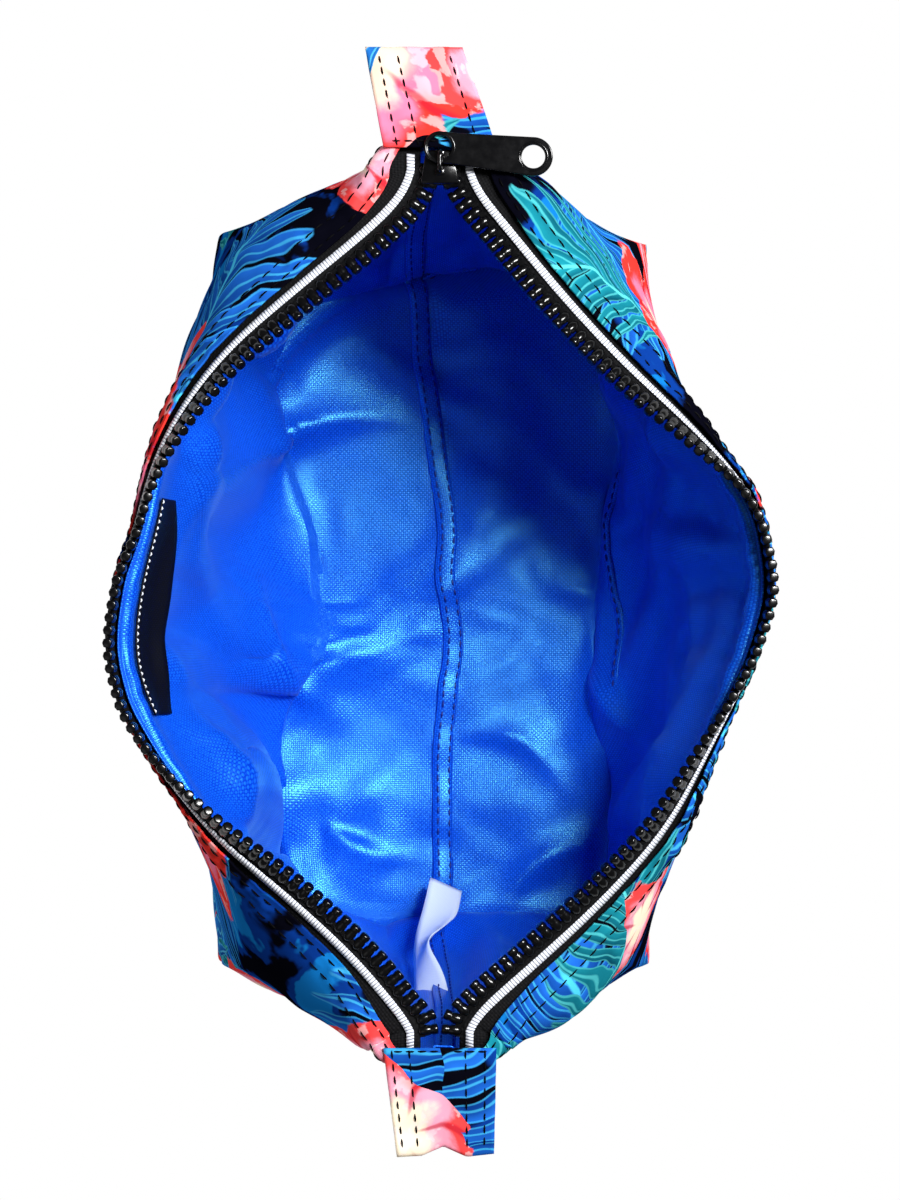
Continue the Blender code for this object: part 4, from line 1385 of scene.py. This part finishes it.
def make_seam(name, sheet, rows, columns, profile, thread, inward=1):
    """A sewn seam on the lining: a narrow band with this profile, and its rows of stitches."""
    line = on_sheet(sheet, rows, columns)
    run = run_along(line)
    at = np.linspace(0, run[-1], max(8, int(run[-1] / 0.002)))
    rows, columns = np.interp(at, run, rows), np.interp(at, run, columns)
    line = on_sheet(sheet, rows, columns)
    along = unit(np.gradient(line, axis=0))
    steps = on_sheet(sheet, rows, columns + 0.5) - on_sheet(sheet, rows, columns - 0.5)
    rises = on_sheet(sheet, rows + 0.5, columns) - on_sheet(sheet, rows - 0.5, columns)
    normal = unit(np.cross(rises, steps)) * inward
    for _ in range(3):
        normal[1:-1] = unit(normal[:-2] + 2 * normal[1:-1] + normal[2:])
    across = unit(np.cross(normal, along))
    band = [line + across * side + normal * (LINING_CLOTH + lift) for side, lift in profile]
    made = belong(ribbon_mesh(name, np.stack(band, axis=1), LINING, SEAM_CLOTH), "blue_lining")
    above = LINING_CLOTH + SEAM_CLOTH / 2
    lines = [(line + across * side + normal * (above + lift), normal) for side, lift in thread]
    stitches = sew(name + "_stitches", lines, THREAD_BLUE, SEAM_STITCH, FINE_PITCH)
    return [made, belong(stitches, "blue_lining")]


def make_lining_seams():
    """The centre seam along the floor and up both ends, and the seams of the boxed corners."""
    run, ring = lining_run(), lining_ring
    top, across = len(lining_grid), 2 * ring.end
    column = BASE_WIDTH / across

    def floor_row(y):
        return top - 1 + (BASE_LENGTH / 2 - y) / BASE_LENGTH * ring.along

    path = ((3, -2.0), (top - 1, -4.0), (floor_row(0.05), -4.6), (floor_row(0.0), -3.6),
            (floor_row(-0.04), -0.8), (floor_row(-0.067), 1.4), (floor_row(-0.085), 2.4),
            (floor_row(-0.093), 2.0), (len(run) - 5, 1.0))
    rows, aside = np.array(path).T
    columns = ring.end + aside / 1000 / column
    centre = ((-0.0026, 0.0002), (-0.0024, 0.0009), (-0.0008, 0.0007), (0.0016, 0.0005),
              (0.0024, 0.0001))
    thread = ((-0.0012, 0.0009), (0.0018, 0.0006))
    pieces = make_seam("lining_centre_seam", run, rows, columns, centre, thread)
    cross = ((-0.0012, 0.0001), (-0.0006, 0.0005), (0.0006, 0.0005), (0.0012, 0.0001))
    line = np.linspace(-0.015, 0.0155, 12)
    pieces += make_seam(
        "lining_end_seam", run, np.full(12, top - 1.5), ring.end + line / column, cross, ((0.0, 0.0006),)
    )
    y = np.linspace(0.042, -0.030, 20)
    side = ring.end + (BASE_LENGTH / 2 - y) / BASE_LENGTH * ring.along
    pieces += make_seam(
        "lining_side_seam", lining_grid, np.linspace(2.0, 4.0, 20), side, cross, ((0.0, 0.0006),), -1
    )
    return pieces


def bevel_edges(width):
    """In edit mode, rounds the sharp edges of the whole shape."""
    bpy.ops.mesh.select_all(action="DESELECT")
    bpy.ops.mesh.select_mode(type="EDGE")
    bpy.ops.mesh.edges_select_sharp(sharpness=math.radians(40))
    bpy.ops.mesh.bevel(offset=width, segments=3, affect="EDGES")
    bpy.ops.object.mode_set(mode="OBJECT")
    bpy.context.object.data.shade_smooth()


def join_pieces(name, pieces, material):
    bpy.ops.object.select_all(action="DESELECT")
    for piece in pieces:
        piece.data.materials.clear()
        piece.data.materials.append(material)
        piece.select_set(True)
    bpy.context.view_layer.objects.active = pieces[0]
    bpy.ops.object.join()
    pieces[0].name = name
    return pieces[0]


def make_slider():
    """The slider: rounded plates, a neck between the rows, side flanges and the wire bail."""
    back = MOUTH_LENGTH / 2 + SLIDER_OVERRUN
    middle = back - SLIDER_LENGTH / 2
    pieces = []
    for end in (1, -1):
        height = ZIP_HEIGHT + end * (SLIDER_INNER + SLIDER_PLATE / 2)
        plate = add_block(
            "slider_body", (SLIDER_WIDTH, SLIDER_LENGTH, SLIDER_PLATE), (0, middle, height)
        )
        pick_faces(lambda centre, normal: normal.y > 0.9)
        bpy.ops.transform.resize(value=(SLIDER_TAIL / SLIDER_WIDTH, 1, 1))
        bevel_edges(0.00045)
        pieces.append(plate)
        for side in (1, -1):
            turn = math.atan((SLIDER_WIDTH - SLIDER_TAIL) / 2 / SLIDER_LENGTH)
            place = (side * (SLIDER_WIDTH + SLIDER_TAIL - 0.0014) / 4, middle, height - end * 0.0007)
            flange = add_block("slider_flange", (0.0007, SLIDER_LENGTH * 0.8, 0.0012))
            bpy.ops.mesh.select_all(action="SELECT")
            bpy.ops.transform.rotate(value=side * -turn, orient_axis="Z")
            bpy.ops.transform.translate(value=place)
            bevel_edges(0.0002)
            pieces.append(flange)
    neck_size = (0.0011, 0.0012, 2.4 * SLIDER_INNER)
    neck = add_block("slider_neck", neck_size, (0, middle - 0.0030, ZIP_HEIGHT))
    bevel_edges(0.0002)
    pieces.append(neck)
    rear = back - 0.0006
    top = PULL_AXIS[2] + PULL_THICKNESS / 2 + 0.0003 + BAIL_WIRE
    foot = ZIP_HEIGHT + SLIDER_INNER + SLIDER_PLATE / 2
    front = rear - BAIL_SPAN
    for y in (rear, front):
        lug = add_block("slider_lug", (0.0022, 0.0016, 0.0009), (0, y - 0.0002, foot + 0.0008))
        bevel_edges(0.0003)
        pieces.append(lug)
    curve = bevelled_curve("slider_bail", "3D", BAIL_WIRE, 4)
    curve.use_fill_caps = True
    wire = curve.splines.new("BEZIER")
    round_off = 0.0011
    path = ((rear, foot), (rear, top - round_off), (rear - round_off, top),
            (front + round_off, top), (front, top - round_off), (front, foot))
    wire.bezier_points.add(len(path) - 1)
    for point, (y, z) in zip(wire.bezier_points, path):
        point.co = (0, y, z)
        point.handle_left_type = point.handle_right_type = "VECTOR"
    for index, near in ((1, 0), (2, 3), (3, 2), (4, 5)):
        point, other = wire.bezier_points[index], wire.bezier_points[near]
        away = (point.co - other.co).normalized() * round_off * 0.55
        point.handle_left_type = point.handle_right_type = "FREE"
        if near < index:
            point.handle_left, point.handle_right = point.co - away, point.co + away
        else:
            point.handle_left, point.handle_right = point.co + away, point.co - away
    bail = curve_to_mesh("slider_bail", curve)
    bail.data.shade_smooth()
    pieces.append(bail)
    return belong(join_pieces("slider_body", pieces, METAL), "black_metal", "slider")


def make_pull():
    """The flat pull with bevelled edges and a raised rim round each of its holes."""
    eye, end, bevel = PULL_EYE + PULL_RIM, PULL_END / 2, 0.00025
    shoulder = math.acos(min(1, PULL_NECK / 2 / eye))
    turns = np.linspace((math.pi + shoulder) / 2, (3 * math.pi - shoulder) / 2, 28)
    outline = [(eye * math.cos(a), eye * math.sin(a)) for a in turns]
    outline.append((eye, -PULL_NECK / 2))
    turns = np.linspace(-math.pi / 2, math.pi / 2, 28)
    outline += [(PULL_REACH + end * math.cos(a), end * math.sin(a)) for a in turns]
    outline.append((eye, PULL_NECK / 2))
    holes = [(0, PULL_EYE), (PULL_REACH, PULL_HOLE)]
    rings = [outline]
    for centre, radius in holes:
        turns = np.linspace(0, 2 * math.pi, 40, endpoint=False)
        rings.append([(centre + radius * math.cos(a), radius * math.sin(a)) for a in turns])
    curve = bevelled_curve("pull_plate", "2D", bevel, 3)
    curve.fill_mode = "BOTH"
    curve.extrude = PULL_THICKNESS / 2 - bevel
    curve.offset = -bevel
    for ring in rings:
        spline = curve.splines.new("POLY")
        spline.points.add(len(ring) - 1)
        for point, (x, y) in zip(spline.points, ring):
            point.co = (x, y, 0, 1)
        spline.use_cyclic_u = True
    pieces = [curve_to_mesh("pull_plate", curve)]
    for centre, radius in holes:
        bpy.ops.object.select_all(action="DESELECT")
        bpy.ops.mesh.primitive_torus_add(
            major_radius=radius + 0.0006, minor_radius=0.00042, major_segments=48, minor_segments=12
        )
        rim = bpy.context.object
        bpy.ops.object.mode_set(mode="EDIT")
        bpy.ops.mesh.select_all(action="SELECT")
        bpy.ops.transform.resize(value=(1, 1, (PULL_THICKNESS / 2 + 0.00012) / 0.00042))
        bpy.ops.transform.translate(value=(centre, 0, 0))
        bpy.ops.object.mode_set(mode="OBJECT")
        rim.data.shade_smooth()
        pieces.append(rim)
    made = join_pieces("pull_body", pieces, METAL)
    made.location = PULL_AXIS
    made.rotation_euler.z = math.radians(PULL_TURN)
    select_only(made)
    bpy.ops.object.transform_apply(location=True, rotation=True, scale=True)
    return belong(made, "black_metal", "zip_pull", body="pull")


def make_side_label():
    """The bare woven label on the lining of the left wall, its lower part bellied out from the lining in
    the middle.
    """
    share = np.linspace(-1, 1, 41)
    middle, reach = lining_ring.count // 4 * 3, 16
    lines = []
    for part in np.linspace(0, 1, 9):
        depth = SIDE_LABEL_HEAD + (SIDE_LABEL_FOOT - SIDE_LABEL_HEAD) * part
        line, outward = depth_line(lining_grid, depth, 4)
        own = np.arange(middle - reach, middle + reach + 1)
        run = run_along(line[own])
        at = run[reach] + share * SIDE_LABEL_LENGTH / 2
        point, out = at_lengths(at, run, line[own]), at_lengths(at, run, outward[own])
        clear = LINING_CLOTH + LABEL_GAP + part * LABEL_BELLY * (1 - share**2)
        lines.append(point - unit(out) * clear[:, None])
    made = ribbon_mesh("woven_label", np.stack(lines, axis=1), LABEL_CLOTH, LABEL_THICKNESS)
    belong(made, "label_cloth", "side_label")
    line = lines[0] * 0.85 + lines[1] * 0.15
    inward = np.tile((1.0, 0.0, 0.0), (len(line), 1))
    stitches = sew("label_stitches", [(line, inward)], THREAD_WHITE, 0.0010, 0.0016, 0.0003)
    return made, belong(stitches, "white_ribbon")


def make_care_label():
    """The loose pale ribbon, twisting down from the end seam."""
    low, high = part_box("care_label")
    start = np.array((BASE_SHIFT / 2 - 0.0005, low.y, high.z))
    along = np.linspace(0, 1, 40)
    hang = {key: smooth(CARE_HANG, key, along) for key in ("inward", "drop", "aside", "turn")}
    turned = np.radians(hang["turn"])
    middle = start + CARE_LENGTH * np.stack((hang["aside"], hang["inward"], -hang["drop"]), axis=1)
    across = np.stack((np.cos(turned), np.sin(turned), 0 * turned), axis=1)
    rows = [middle + across * CARE_WIDTH * share for share in np.linspace(-0.5, 0.5, 7)]
    made = ribbon_mesh("care_ribbon", np.stack(rows, axis=1), CARE_CLOTH, CARE_THICKNESS)
    return belong(made, "care_ribbon", "care_label")


PRINT = print_finish("printed_satin", 0.60, 0.97)
HEAD_PRINT = print_finish("printed_head_tab", 0.62, 0.60)
FOOT_PRINT = print_finish("printed_foot_tab", 0.55, 0.90, 0.21)
LINING = lining_finish()
PLASTIC = glossy_finish("black_plastic", (0.0012, 0.0012, 0.0015), 0.20)
METAL = glossy_finish("black_metal", (0.0012, 0.0012, 0.0016), 0.13)
# The second colour is a painted highlight on the tops of the tape's yarns.
TAPE_CLOTH = plain_weave_finish(
    "black_tape", (0.0012, 0.0012, 0.0015), (0.006, 0.006, 0.007), 0.75, 0.0007, 0.00015
)
# The grey first colour is painted shade in the ribbon's grooves.
RIBBON_CLOTH = ribbed_finish("white_ribbon", (0.18, 0.20, 0.26), (0.86, 0.88, 0.95), 0.6)
# The second colour is a painted highlight on the tops of the label's yarns.
LABEL_CLOTH = plain_weave_finish(
    "label_cloth", (0.0012, 0.0014, 0.003), (0.003, 0.004, 0.010), 0.5, 0.0005, 0.00005
)
# The second colour is a painted highlight on the tops of the care ribbon's yarns.
CARE_CLOTH = plain_weave_finish(
    "care_ribbon", (0.62, 0.76, 0.97), (0.80, 0.90, 1.00), 0.4, 0.0003, 0.00002
)
THREAD_BLACK = Finish(
    "black_thread", Base_Color=(0.001, 0.001, 0.0015), Roughness=0.6, Specular_IOR_Level=0.05
).material
THREAD_WHITE = Finish("white_thread", Base_Color=(0.75, 0.78, 0.85), Roughness=0.5).material
THREAD_BLUE = Finish("blue_thread", Base_Color=(0.0, 0.012, 0.20), Roughness=0.5).material

shell_ring = Ring(*SHELL_COLUMNS)
lining_ring = Ring(*LINING_COLUMNS)
shell, shell_grid = make_outer_cloth(shell_ring)
belong(shell, "printed_satin", "outer_shell")
lining, lining_grid, lining_floor = make_inner_cloth(lining_ring)
belong(lining, "blue_lining", "lining")
topstitches = make_topstitching()
seams = make_lining_seams()

tapes = {side: make_zip_side(side) for side in (1, -1)}
make_slider()
make_pull()
head_start = MOUTH_LENGTH / 2 + HEAD_LAP
foot_start = MOUTH_LENGTH / 2 + END_LAP
head_tab, head_rows = make_tab(
    "tab_head", "head_tab", 1, head_start, HEAD_LENGTH, HEAD_LEAN, 0, HEAD_PRINT
)
foot_tab, foot_rows = make_tab(
    "tab_foot", "foot_tab", -1, foot_start, FOOT_LENGTH, FOOT_LEAN, FOOT_NOTCH, FOOT_PRINT
)
head_stitches = make_tab_stitches("head_stitches", head_rows, (-0.75, -0.37, 0.69), (2,))
foot_stitches = make_tab_stitches("foot_stitches", foot_rows, (-0.86, -0.55, 0.45, 0.80), (1,))
woven_label, label_stitches = make_side_label()
care_ribbon = make_care_label()


def make_camera():
    """Straight above the mouth, as the photo was taken."""
    height, lens, sensor, aside = 1.112, 0.084, 0.024, 0.0024
    data = bpy.data.cameras.new("overhead")
    data.sensor_fit = "VERTICAL"
    data.sensor_height = sensor * 1000
    data.lens = lens * 1000
    data.clip_start = 0.05
    made = add_object("overhead", data)
    made.location = (aside, 0, height)
    bpy.context.scene.camera = made


def make_light(name, place, size, watts):
    data = bpy.data.lights.new(name, "AREA")
    data.shape = "DISK"
    data.size = size
    data.energy = watts
    made = add_object(name, data)
    made.location = place
    aim = Vector((0, 0, 0.06)) - Vector(place)
    made.rotation_euler = aim.to_track_quat("-Z", "Y").to_euler()


def make_studio():
    bpy.ops.object.select_all(action="DESELECT")
    bpy.ops.mesh.primitive_plane_add(size=6, location=(0, 0, -0.0002))
    floor = bpy.context.object
    floor.name = "studio_floor"
    paper = Finish("white_paper", Base_Color=(0.0, 0.0, 0.0), Roughness=1.0)
    paper.set("Specular_IOR_Level", 0.0)
    paper.set("Emission_Color", (1.0, 1.0, 1.0))
    paper.set("Emission_Strength", 1.0)
    floor.data.materials.append(paper.material)
    world = bpy.data.worlds.new("studio")
    bpy.context.scene.world = world
    world.use_nodes = True
    world.node_tree.nodes["Background"].inputs["Color"].default_value = (1, 1, 1, 1)
    world.node_tree.nodes["Background"].inputs["Strength"].default_value = 0.07
    make_light("key", (0.36, 0.33, 1.12), 0.24, 13)
    make_light("low_key", (0.66, 0.34, 1.00), 0.26, 12)
    make_light("fill", (-0.6, -0.5, 1.2), 0.9, 0.7)
    bpy.context.scene.view_settings.view_transform = "Standard"


make_camera()
make_studio()

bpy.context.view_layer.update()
